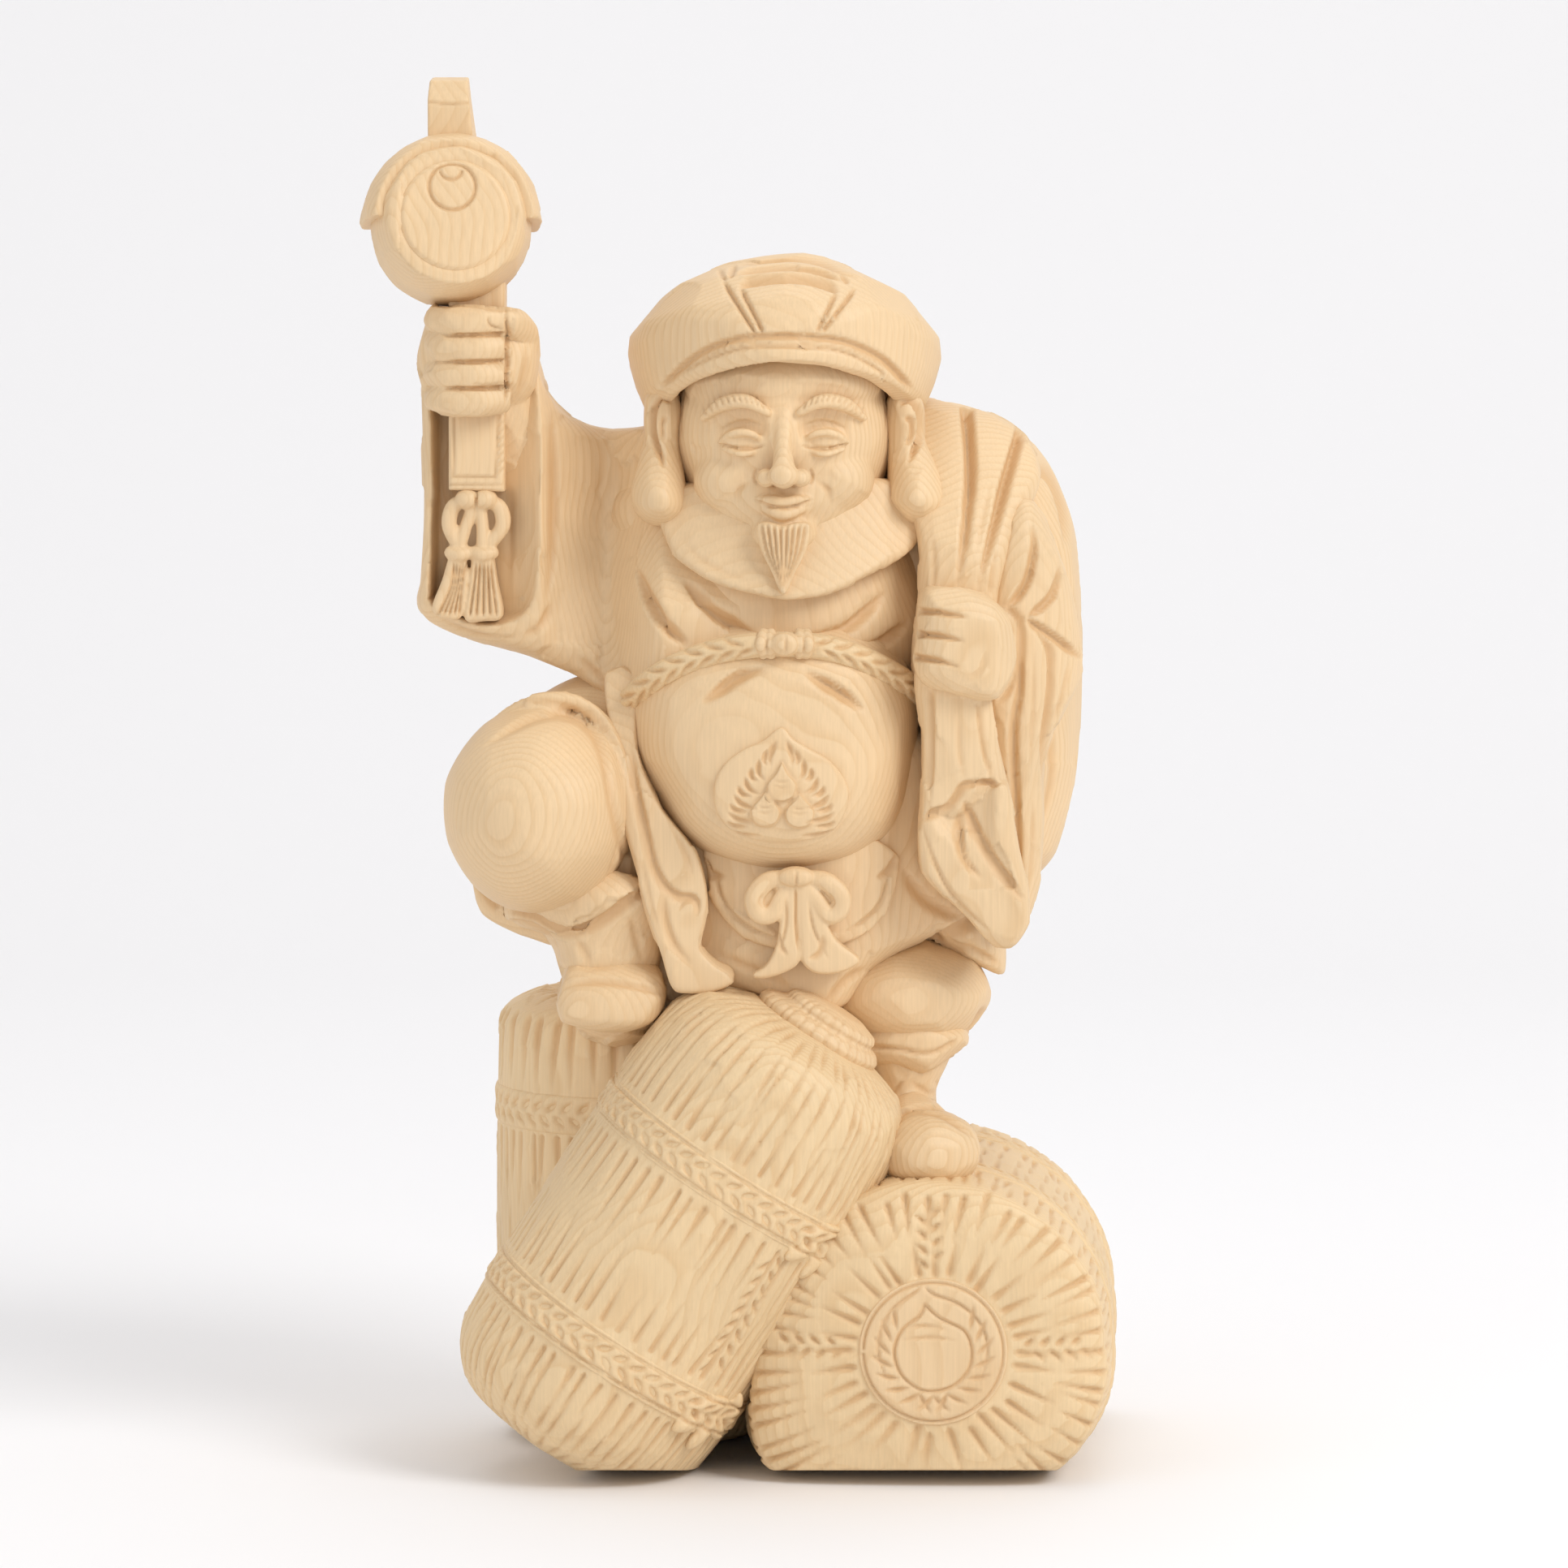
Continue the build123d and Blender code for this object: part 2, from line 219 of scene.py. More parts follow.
def curve(points, per_span=6, closed=False):
    """Points on a smooth line through the given ones, per_span to each stretch between two."""
    p = np.asarray(points, float)
    n = len(p)
    if n < 3:
        return p
    made = []
    for i in range(n if closed else n - 1):
        if closed:
            a, b, c, d = p[(i - 1) % n], p[i], p[(i + 1) % n], p[(i + 2) % n]
        else:
            a, b, c, d = p[max(i - 1, 0)], p[i], p[i + 1], p[min(i + 2, n - 1)]
        for t in np.arange(per_span) / per_span:
            made.append(0.5 * (2 * b + (c - a) * t + (2 * a - 5 * b + 4 * c - d) * t**2
                               + (3 * b - a - 3 * c + d) * t**3))
    if not closed:
        made.append(p[-1])
    return np.array(made)


def turned(name, profile, steps=128, ring=False):
    """A body turned about Z from (radius, height) points in millimetres. Its outline runs from axis
    to axis, or is a closed section for a ring."""
    mesh = bpy.data.meshes.new(name)
    corners = [(radius * MM, 0, height * MM) for radius, height in profile]
    edges = [(i, i + 1) for i in range(len(corners) - 1)]
    if ring:
        edges.append((len(corners) - 1, 0))
    mesh.from_pydata(corners, edges, [])
    piece = bpy.data.objects.new(name, mesh)
    bpy.context.scene.collection.objects.link(piece)
    only(piece)
    bpy.ops.object.mode_set(mode="EDIT")
    bpy.ops.mesh.select_all(action="SELECT")
    bpy.ops.mesh.spin(steps=steps, angle=2 * math.pi, center=(0, 0, 0), axis=(0, 0, 1))
    bpy.ops.mesh.select_all(action="SELECT")
    bpy.ops.mesh.remove_doubles(threshold=0.00001)
    bpy.ops.mesh.normals_make_consistent(inside=False)
    bpy.ops.object.mode_set(mode="OBJECT")
    return piece


def block(name, parts, voxel, blend):
    """Joins rough lumps into one skin of even fine faces, and eases the creases between them."""
    only(parts[0])
    for part in parts[1:]:
        part.select_set(True)
    if len(parts) > 1:
        bpy.ops.object.join()
    piece = bpy.context.object
    piece.name = name
    skin = piece.modifiers.new("skin", "REMESH")
    skin.mode, skin.voxel_size, skin.use_smooth_shade = "VOXEL", voxel * MM, True
    bpy.ops.object.modifier_apply(modifier="skin")
    if blend:
        ease = piece.modifiers.new("ease", "SMOOTH")
        ease.factor, ease.iterations = 0.5, blend
        bpy.ops.object.modifier_apply(modifier="ease")
    return piece


def read(piece, what="co"):
    """A piece's points in millimetres, or their unit normals."""
    values = np.empty(len(piece.data.vertices) * 3)
    piece.data.vertices.foreach_get(what, values)
    return values.reshape(-1, 3) / (MM if what == "co" else 1)


def write(piece, points):
    """Puts points in millimetres back into the piece."""
    piece.data.vertices.foreach_set("co", (points * MM).ravel())
    piece.data.update()


def cut_depth(u, v, strokes, power):
    """How deep knife strokes go at each point (u, v) of a flat chart. A stroke is a path, its half
    width on the left and on the right, its depth, and the shares of its length that taper at each
    end. Where strokes cross, the deeper one counts."""
    depth = np.zeros(len(u))
    for path, left, right, deep, ends in strokes:
        path = np.asarray(path, float)
        reach = max(left, right)
        low, high = path.min(0) - reach, path.max(0) + reach
        near = np.flatnonzero((u > low[0]) & (u < high[0]) & (v > low[1]) & (v < high[1]))
        if not len(near):
            continue
        start, step = path[:-1], np.diff(path, axis=0)
        length = np.maximum(np.hypot(step[:, 0], step[:, 1]), 1e-6)
        run = np.concatenate([[0], np.cumsum(length)])
        du = u[near][:, None] - start[:, 0]
        dv = v[near][:, None] - start[:, 1]
        t = np.clip((du * step[:, 0] + dv * step[:, 1]) / length**2, 0, 1)
        du, dv = du - t * step[:, 0], dv - t * step[:, 1]
        away = np.hypot(du, dv)
        best = away.argmin(1)
        rows = np.arange(len(near))
        along = (run[best] + t[rows, best] * length[best]) / run[-1]
        on_left = step[best, 0] * dv[rows, best] - step[best, 1] * du[rows, best] > 0
        full = np.ones(len(near))
        if ends[0]:
            full = np.minimum(full, along / ends[0])
        if ends[1]:
            full = np.minimum(full, (1 - along) / ends[1])
        full = np.clip(full, 0, 1) ** 0.7
        half = np.maximum(np.where(on_left, left, right) * (0.35 + 0.65 * full), 1e-3)
        share = np.clip(1 - (away[rows, best] / half) ** power, 0, 1)
        depth[near] = np.maximum(depth[near], deep * full * share)
    return depth


def engrave(piece, u, v, strokes, where=1.0, power=1.25, cut_shade_share=1.0):
    """Sinks the strokes into a piece along its normals. u and v are a chart of its points. The depth
    is also kept on the points, where the wood's material reads it to paint shade into the cuts."""
    depth = cut_depth(u, v, strokes, power) * where
    write(piece, read(piece) - read(piece, "normal") * depth[:, None])
    # The kept value is the share of painted shade: the material darkens each cut by it.
    kept = piece.data.attributes.get("cut") or piece.data.attributes.new("cut", "FLOAT", "POINT")
    before = np.zeros(len(depth))
    kept.data.foreach_get("value", before)
    kept.data.foreach_set("value", np.maximum(before, np.clip(depth * cut_shade_share / 1.6, 0, 0.5)))


def whittle(piece, cell, bite, seed):
    """Leaves the flats of a broad chisel: each patch of the skin moves part of the way to a plane."""
    points, normals = read(piece), read(piece, "normal")
    rng = np.random.default_rng(seed)
    order = rng.permutation(len(points))
    keys = np.floor(points[order] / cell).astype(int)
    _, first = np.unique(keys, axis=0, return_index=True)
    centres = order[first]
    features = np.hstack([points, normals * cell])
    chosen = features[centres]
    nearest = np.empty(len(points), int)
    size = (chosen**2).sum(1)
    for begin in range(0, len(points), 20000):
        part = features[begin:begin + 20000]
        nearest[begin:begin + 20000] = (size - 2 * part @ chosen.T).argmin(1)
    plane = normals[centres][nearest]
    to_plane = ((points[centres][nearest] - points) * plane).sum(1)
    write(piece, points + plane * (np.clip(to_plane, -1.2, 1.2) * bite)[:, None])


def finish_piece(piece, nodes, material):
    """The last calls that each piece needs: fewer faces where it is flat, smooth shading, its wood,
    its body, and hiding the nodes that it stands for."""
    only(piece)
    many_faces, kept_share = 30000, 0.58
    if len(piece.data.polygons) > many_faces:
        thin = piece.modifiers.new("thin", "DECIMATE")
        thin.ratio = kept_share
        bpy.ops.object.modifier_apply(modifier="thin")
    bpy.ops.object.shade_smooth()
    piece.data.materials.clear()
    piece.data.materials.append(material)
    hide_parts(*nodes)
    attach(piece, "root")


def straw_rows(rng, around, rows, spacing=3.8):
    """Wedge cuts round a bale. A row is where its cuts start and end along the bale, how much the
    ends may differ, and the share of the length that tapers at the start."""
    strokes = []
    for start, end, ragged, blunt in rows:
        offset = rng.uniform(0, spacing)
        for i in range(int(around / spacing)):
            u = (i + rng.uniform(-0.22, 0.22)) * spacing + offset - around / 2
            lean = rng.normal(0, 0.5)
            stop = end + rng.uniform(-ragged, ragged)
            half = rng.uniform(0.6, 0.95)
            strokes.append(([(u, start), (u + lean, stop)], half, half, rng.uniform(0.8, 1.05), (blunt, 0.8)))
    return strokes


def braid(path, half_width, pitch, lean, deep=0.8, half=0.8):
    """Leaf-shaped cuts in two rows that meet in a herringbone along a path of a flat chart."""
    path = np.asarray(path, float)
    step = np.diff(path, axis=0)
    length = np.hypot(step[:, 0], step[:, 1])
    run = np.concatenate([[0], np.cumsum(length)])
    strokes = []
    for i in range(int(run[-1] / pitch)):
        for side in (1, -1):
            at = (i + (0.5 if side < 0 else 0.0)) * pitch
            k = min(np.searchsorted(run, at, side="right") - 1, len(length) - 1)
            along = step[k] / length[k]
            across = np.array([-along[1], along[0]])
            root = path[k] + along * (at - run[k]) + across * side * 0.3
            tip = root + across * side * half_width + along * lean
            middle = (root + tip) / 2 + along * 0.15 * lean
            strokes.append(([root, middle, tip], half, half, deep, (0.35, 0.5)))
    return strokes


def bale_profile(length, radius, face, shoulder):
    """A bale's outline, from the middle of one end to the middle of the other. The shoulder is given
    as steps in from the radius and down from the end."""
    half = length / 2
    corner = curve([(face, half)] + [(radius - inward, half - down) for inward, down in shoulder], 8)
    upper = [(0, half)] + [tuple(p) for p in corner] + [(radius + 0.25, 0)]
    return upper + [(r, -h) for r, h in reversed(upper[:-1])]


def radial(rng, count, inner, outer, ragged, half, deep, ends, centre=(0, 0)):
    """Cuts that point at a centre, from an inner to an outer radius."""
    strokes = []
    for i in range(count):
        angle = (i + rng.uniform(-0.22, 0.22)) / count * 2 * math.pi
        a, b = inner + rng.uniform(-ragged, ragged), outer + rng.uniform(-ragged, ragged)
        swing = angle + rng.normal(0, 0.02)
        strokes.append(([
            (centre[0] + a * math.cos(angle), centre[1] + a * math.sin(angle)),
            (centre[0] + b * math.cos(swing), centre[1] + b * math.sin(swing)),
        ], half, half, deep * rng.uniform(0.8, 1.1), ends))
    return strokes


def rest_on_floor(piece):
    """Planes the underside flat on the floor; toward the front it is eased up by a few millimetres."""
    points = read(piece)
    flat_until, rise_per_square = -12, 0.0034
    eased = rise_per_square * np.clip(flat_until - points[:, 1], 0, 45)**2
    points[:, 2] = np.maximum(points[:, 2], eased)
    write(piece, points)


def lump(centre, radii, turn=(0, 0, 0)):
    """An egg of wood: centre and radii in millimetres, turned by degrees."""
    bpy.ops.object.select_all(action="DESELECT")
    bpy.ops.mesh.primitive_uv_sphere_add(
        segments=48, ring_count=24, radius=1, location=Vector(centre) * MM,
        rotation=[math.radians(a) for a in turn])
    made = bpy.context.object
    made.scale = Vector(radii) * MM
    bpy.ops.object.transform_apply()
    return made


def rope_ring(name, radius, height, width):
    """A flat band with a dip along its middle, round a bale at a height."""
    half = width / 2
    section = curve([
        (radius - 2, height - half), (radius + 0.1, height - half), (radius + 0.75, height - 0.55 * half),
        (radius + 0.55, height), (radius + 0.75, height + 0.55 * half), (radius + 0.1, height + half),
        (radius - 2, height + half),
    ], 4)
    return turned(name, section, 200, ring=True)


def plait_all_round(radius, heights, half_width, lean):
    """The plait of each rope, drawn on the bale's unrolled side."""
    around = math.pi * radius
    strokes = []
    for height in heights:
        strokes += braid([(-around, height), (around, height)], half_width, 4.0, lean, 1.0, 0.95)
    return strokes


def unrolled(points, radius):
    """How far round a bale each point lies, in millimetres."""
    return np.arctan2(points[:, 1], points[:, 0]) * radius


front_place = (Matrix.Translation((-0.013, -0.0255, 0.051))
               @ Matrix.Rotation(math.radians(33), 4, "Y"))
front_radius, front_length, front_ropes_at = 31.0, 106.0, (18, -26)
rope_width = 8.6
rng = np.random.default_rng(11)
bale = block("front_bale", [turned("barrel", bale_profile(front_length, front_radius, 15, [
    (11.0, 1.6), (5.6, 4.6), (2.2, 9.6), (0.7, 16.0), (0, 26.0)]))], 0.55, 2)
whittle(bale, 9, 0.5, 3)
points = read(bale)
u = unrolled(points, front_radius)
strokes = straw_rows(rng, 2 * math.pi * front_radius, [
    (23.4, 38, 3.5, 0.04), (48.5, 31, 3.5, 0.3), (12.6, -3, 4.5, 0.04), (-20.6, -5, 4.5, 0.04),
    (-31.4, -42, 3, 0.04), (-49, -36, 3, 0.3),
])
strokes += braid([(-0.98 * front_radius, 11.5), (-0.9 * front_radius, -20)], 3.0, 3.6, 3.2, 1.0)
engrave(bale, u, points[:, 2], strokes)
points, normals = read(bale), read(bale, "normal")
strokes = radial(rng, 44, 15.5, 27, 1.5, 0.8, 0.8, (0.4, 0.5))
engrave(bale, points[:, 0], points[:, 1], strokes, np.clip(np.abs(normals[:, 2]) * 3 - 1.2, 0, 1))
bale.data.transform(front_place)
rest_on_floor(bale)
finish_piece(bale, ["bale_front"], straw_wood)

# Two plaited ropes round it, each tied off at the right in a knot, and a plait down between them.
rings = [rope_ring("rope", front_radius, height, rope_width) for height in front_ropes_at]
knots = []
for height in front_ropes_at:
    for spread, rise, size, turn in (
        (-0.12, 2.0, 5.5, 20), (0.1, -2.5, 5.0, -25), (0.2, 2.5, 4.6, -60), (-0.02, -5.0, 4.4, 70),
        (-0.2, -3.5, 4.6, 40),
    ):
        angle = -0.62 + spread
        where = (
            (front_radius + 0.3) * math.cos(angle), (front_radius + 0.3) * math.sin(angle), height + rise,
        )
        leaf = lump((0, 0, 0), (1.5, size, 1.9), (turn, 0, 0))
        leaf.data.transform(Matrix.Translation(Vector(where) * MM) @ Matrix.Rotation(angle, 4, "Z"))
        knots.append(leaf)
ropes = block("front_ropes", rings + knots, 0.45, 1)
points = read(ropes)
u = unrolled(points, front_radius)
around = math.pi * front_radius
strokes = plait_all_round(front_radius, front_ropes_at, 2.7, 3.6)
for height in front_ropes_at:
    for edge in (-3.3, 3.3):
        strokes.append(([(-around, height + edge), (around, height + edge)], 0.55, 0.55, 0.8, (0, 0)))
engrave(ropes, u, points[:, 2], strokes)
ropes.data.transform(front_place)
rest_on_floor(ropes)
finish_piece(ropes, ["bale_front_ropes"], straw_wood)

# The lid: two thin lens-shaped plates of plaited straw, one on the other, nicked round the edge.
plate = turned("plate", [(0, 4.4), (10, 4.1), (13.8, 2.8), (14.9, 1.2), (14.0, -2.5), (0, -2.5)], 96)
button = turned("button", [(0, 7.6), (6.5, 7.2), (10.4, 5.8), (11.0, 4.6), (10.0, 2.5), (0, 2.5)], 96)
button.data.transform(Matrix.Translation((0.001, -0.0015, 0)))
lid = block("front_lid", [plate, button], 0.42, 2)
points, normals = read(lid), read(lid, "normal")
strokes = radial(rng, 30, 11.8, 15.2, 0.5, 0.55, 0.4, (0.5, 0))
strokes += radial(rng, 24, 7.8, 11.0, 0.4, 0.5, 0.4, (0.5, 0), (1.0, -1.5))
engrave(lid, points[:, 0], points[:, 1], strokes)
lid.data.transform(front_place @ Matrix.Translation((0, 0, front_length / 2 * MM)))
finish_piece(lid, ["bale_front_lid"], figure_wood)


# ---------------------------------------------------------------- right bale
# The second bale lies end on, cut from one block. Its straw fans out from a round crest in two rings
# of cuts, three plaits divide them, and two ropes go round its side. The left boot is glued on top.
right_place = (Matrix.Translation((0.0425, 0.0043, 0.0315))
               @ Matrix.Rotation(math.radians(-3), 4, "Z") @ Matrix.Rotation(math.radians(90), 4, "X"))
right_radius, right_length, right_ropes_at = 38.5, 102.6, (25, -24)
bale = block("right_bale", [turned("barrel", bale_profile(right_length, right_radius, 20, [
    (9.5, 1.0), (3.2, 3.2), (0.9, 7.4), (0, 20.0)]))], 0.6, 2)
whittle(bale, 10, 0.4, 5)
points = read(bale)
u = unrolled(points, right_radius)
around = 2 * math.pi * right_radius
strokes = straw_rows(rng, around, [
    (46, 33, 3, 0.3), (30, 42, 3, 0.1), (19.5, 6, 4, 0.04), (-18.5, -5, 4, 0.04), (6, -7, 4, 0.4),
    (-29.5, -40, 3, 0.04), (-47, -36, 3, 0.3),
], 3.6)
engrave(bale, u, points[:, 2], strokes)
points, normals = read(bale), read(bale, "normal")
crest = (1.0, -1.9)
on_end = np.clip(np.abs(normals[:, 2]) * 3 - 0.5, 0, 1)
strokes = radial(rng, 32, 16.4, 26.5, 1.2, 1.05, 1.15, (0.12, 0.75), crest)
strokes += radial(rng, 50, 38.0, 26.5, 1.8, 1.0, 1.2, (0.1, 0.8), crest)
for angle, reach in ((92, 34), (2, 35), (178, 33)):
    way = np.array([math.cos(math.radians(angle)), math.sin(math.radians(angle))])
    strokes += braid([np.array(crest) + way * 19, np.array(crest) + way * reach], 2.8, 3.4, 2.8, 1.1, 0.9)
engrave(bale, points[:, 0], points[:, 1], strokes, on_end)


def settle(piece):
    """Under the load the bale has gone flat on top and spread at the floor, most on the left."""
    points = read(piece)
    x, y = points[:, 0], points[:, 1]
    low = np.clip(-y / 31.5, 0, 1)
    x *= np.where(x > 0, 1 + 0.14 * low, 1 + 0.5 * low**2)
    y *= np.where(y > 0, 0.915, 1)
    write(piece, points)


settle(bale)
bale.data.transform(right_place)
rest_on_floor(bale)
finish_piece(bale, ["bale_right"], straw_wood)

ropes = block("right_ropes", [rope_ring("rope", right_radius, h, rope_width) for h in right_ropes_at], 0.5, 1)
points = read(ropes)
engrave(ropes, unrolled(points, right_radius), points[:, 2],
        plait_all_round(right_radius, right_ropes_at, 2.9, 3.4))
settle(ropes)
ropes.data.transform(right_place)
rest_on_floor(ropes)
finish_piece(ropes, ["bale_right_ropes"], straw_wood)

# The crest on its end: a wish-granting jewel inside a larger one, with leaves between them.
disc = turned("disc", [(0, 1.2), (13.6, 1.0), (15.8, 0.5), (16.0, -2.5), (0, -2.5)], 120)
disc = block("right_crest", [disc], 0.36, 1)
points = read(disc)
circle = [(15.0 * math.cos(a), 15.0 * math.sin(a)) for a in np.linspace(-3.1, 3.1, 90)]
outer_left = curve([(-2.1, 15.0), (-3.6, 13.2), (-8.5, 9.5), (-11.3, 4.5), (-11.6, -1.5), (-9.0, -7.5)])
outer_right = curve([(-2.1, 15.0), (-0.4, 12.8), (6.0, 10.2), (10.5, 5.5), (11.6, -0.5), (9.6, -7.5)])
inner = curve([
    (-1.8, 10.1), (-3.0, 7.6), (-6.6, 4.6), (-8.2, 0.2), (-6.9, -4.6), (-3.4, -7.7), (0.5, -8.3),
    (4.6, -6.9), (7.6, -3.4), (8.1, 0.8), (6.4, 4.7), (1.2, 7.4), (-1.8, 10.1),
])
strokes = [
    (circle, 0.45, 0.45, 0.7, (0, 0)), (outer_left, 0.75, 0.4, 0.7, (0.1, 0.3)),
    (outer_right, 0.4, 0.75, 0.7, (0.1, 0.3)),
    (inner, 0.4, 0.7, 0.75, (0, 0)),
    (curve([(-6.6, 5.0), (-1.8, 5.7), (3.1, 4.9)]), 0.7, 0.7, 0.6, (0.5, 0.5)),
    (curve([(-7.2, 2.4), (-1.0, 3.2), (5.1, 2.6)]), 0.7, 0.7, 0.6, (0.5, 0.5)),
]
for side in (-1, 1):
    for i, angle in enumerate(np.linspace(150, 292, 9)):
        a = math.radians(angle)
        root = np.array([8.9 * math.cos(a) * -side, 8.9 * math.sin(a)])
        tip = np.array([13.4 * math.cos(a - 0.36) * -side, 13.4 * math.sin(a - 0.36)])
        strokes.append(([root, (root + tip) / 2 * 1.03, tip], 0.75, 0.75, 0.85, (0.4, 0.4)))
engrave(disc, points[:, 0], points[:, 1], strokes)
disc.data.transform(right_place @ Matrix.Translation((crest[0] * MM, crest[1] * MM, right_length / 2 * MM)))
finish_piece(disc, ["bale_right_disc"], figure_wood)


# ---------------------------------------------------------------- rear bale
# The third bale stands on end behind the other two, under the raised foot. It is a bulged barrel of
# the same cypress with knife-cut straw, glued and dowelled to the front bale.
rear_place = Matrix.Translation((-0.023, 0.020, 0.050))
rear_radius, rear_length, rear_ropes_at = 31.5, 100.0, (25, -22)
bale = block("rear_bale", [turned("barrel", bale_profile(rear_length, rear_radius, 20, [
    (6.0, 1.4), (1.8, 4.2), (0.4, 9.0), (0, 20.0)]))], 0.65, 2)
whittle(bale, 9, 0.5, 7)
points = read(bale)
u = unrolled(points, rear_radius)
around = 2 * math.pi * rear_radius
strokes = straw_rows(rng, around, [
    (20.5, 3, 5, 0.04), (-17.5, 0, 5, 0.04), (-27, -40, 3, 0.04), (-48, -36, 3, 0.3),
])
strokes += [
    (path, left * 1.6, right * 1.6, deep * 1.3, ends)
    for path, left, right, deep, ends in straw_rows(rng, around, [(46.5, 30.5, 1.5, 0.1)], 5.2)
]
engrave(bale, u, points[:, 2], strokes)
points, normals = read(bale), read(bale, "normal")
strokes = radial(rng, 44, 12, 26, 2, 0.9, 0.8, (0.4, 0.4))
engrave(bale, points[:, 0], points[:, 1], strokes, np.clip(np.abs(normals[:, 2]) * 3 - 1.2, 0, 1))
bale.data.transform(rear_place)
rest_on_floor(bale)
finish_piece(bale, ["bale_rear_left"], straw_wood)

ropes = block("rear_ropes", [rope_ring("rope", rear_radius, h, rope_width) for h in rear_ropes_at], 0.55, 1)
points = read(ropes)
engrave(ropes, unrolled(points, rear_radius), points[:, 2],
        plait_all_round(rear_radius, rear_ropes_at, 3.2, 3.4))
ropes.data.transform(rear_place)
finish_piece(ropes, ["bale_rear_left_ropes"], straw_wood)


# ---------------------------------------------------------------- boots and legs
# The raised right foot stands on the rear bale and the left on the right bale. Soft boots with a
# thick sole come out under trouser cuffs that hang in waves. A dowel joins each
# boot to its bale.
def inside(u, v, outline):
    """How far each point of a flat chart lies inside a closed outline; outside it is negative."""
    ends = np.asarray(outline, float)
    start, step = ends, np.roll(ends, -1, axis=0) - ends
    length = (step**2).sum(1) + 1e-12
    away = np.empty(len(u))
    within = np.empty(len(u), bool)
    for begin in range(0, len(u), 20000):
        pick = slice(begin, begin + 20000)
        du = u[pick][:, None] - start[:, 0]
        dv = v[pick][:, None] - start[:, 1]
        t = np.clip((du * step[:, 0] + dv * step[:, 1]) / length, 0, 1)
        away[pick] = np.hypot(du - t * step[:, 0], dv - t * step[:, 1]).min(1)
        above = dv >= 0
        next_above = np.roll(above, -1, axis=1)
        crossing = start[:, 0] + (v[pick][:, None] - start[:, 1]) * step[:, 0] / (step[:, 1] + 1e-12)
        within[pick] = ((above != next_above) & (u[pick][:, None] < crossing)).sum(1) % 2 == 1
    return np.where(within, away, -away)


def limb(points, radii, flat=1.0):
    """A round bar along a smooth path, with its radius at each point, in millimetres. flat below 1
    squeezes it from front to back."""
    path = curve(np.column_stack([np.asarray(points, float), np.asarray(radii, float)]), 5)
    first, last = path[0], path[-1]
    lead = (path[0] - path[1])[:3]
    lead = lead / np.linalg.norm(lead)
    tail = (path[-1] - path[-2])[:3]
    tail = tail / np.linalg.norm(tail)
    path = np.vstack([
        np.append(first[:3] + lead * first[3] * 0.85, first[3] * 0.45),
        np.append(first[:3] + lead * first[3] * 0.5, first[3] * 0.85), path,
        np.append(last[:3] + tail * last[3] * 0.5, last[3] * 0.85),
        np.append(last[:3] + tail * last[3] * 0.85, last[3] * 0.45),
    ])
    line = bpy.data.curves.new("limb", "CURVE")
    line.dimensions, line.bevel_depth, line.bevel_resolution, line.use_fill_caps = "3D", MM, 4, True
    spline = line.splines.new("POLY")
    spline.points.add(len(path) - 1)
    for point, (x, y, z, radius) in zip(spline.points, path):
        point.co, point.radius = (x * MM, y * MM, z * MM, 1), radius
    made = bpy.data.objects.new("limb", line)
    bpy.context.scene.collection.objects.link(made)
    only(made)
    bpy.ops.object.convert(target="MESH")
    made = bpy.context.object
    if flat != 1.0:
        middle = np.asarray(points, float)[:, 1].mean()
        shape = read(made)
        shape[:, 1] = middle + (shape[:, 1] - middle) * flat
        write(made, shape)
    return made


def relief(outline, front, back, rise, reach, voxel=0.7, back_rise=None):
    """A body cut to an outline in the front view. front and back are heights along Y, or functions of
    (x, z) for them; toward the outline both turn away by rise, over a distance of reach."""
    outline = np.asarray(outline, float)
    mesh = bpy.data.meshes.new("relief")
    mesh.from_pydata([(x * MM, 0.01, z * MM) for x, z in outline], [], [list(range(len(outline)))])
    made = bpy.data.objects.new("relief", mesh)
    bpy.context.scene.collection.objects.link(made)
    only(made)
    bpy.ops.object.mode_set(mode="EDIT")
    bpy.ops.mesh.select_all(action="SELECT")
    bpy.ops.mesh.extrude_region_move(TRANSFORM_OT_translate={"value": (0, -0.02, 0)})
    bpy.ops.mesh.select_all(action="SELECT")
    bpy.ops.mesh.normals_make_consistent(inside=False)
    bpy.ops.object.mode_set(mode="OBJECT")
    block("relief", [made], voxel, 0)
    points = read(made)
    x, z = points[:, 0], points[:, 2]
    share = np.clip((points[:, 1] + 10) / 20, 0, 1)
    depth = np.clip(inside(x, z, outline), 0, None)
    turn = 1 - np.sqrt(np.clip(1 - (1 - np.clip(depth / reach, 0, 1))**2, 0, 1))
    near = (front(x, z) if callable(front) else front) + rise * turn
    far = (back(x, z) if callable(back) else back) - (rise if back_rise is None else back_rise) * turn
    points[:, 1] = near + share * (far - near)
    write(made, points)
    return made


def line(points, width, deep, ends=(0.3, 0.3)):
    """A V cut with both walls alike, along a smooth path."""
    return curve(points), width / 2, width / 2, deep, ends


def fold(points, left, right, deep, ends=(0.25, 0.25)):
    """A cut with one steep wall: its width on the left of the path, and on the right."""
    return curve(points), left, right, deep, ends


def front_cuts(piece, strokes, power=1.25, cut_shade_share=1.0):
    """Engraves strokes that are drawn in the front view, on what faces the front."""
    points, normals = read(piece), read(piece, "normal")
    facing = np.clip(-normals[:, 1] * 4, 0, 1)
    engrave(piece, points[:, 0], points[:, 2], strokes, facing, power, cut_shade_share)


def back_cuts(piece, strokes, power=1.25):
    """The same on what faces the back."""
    points, normals = read(piece), read(piece, "normal")
    facing = np.clip(normals[:, 1] * 4, 0, 1)
    engrave(piece, points[:, 0], points[:, 2], strokes, facing, power)


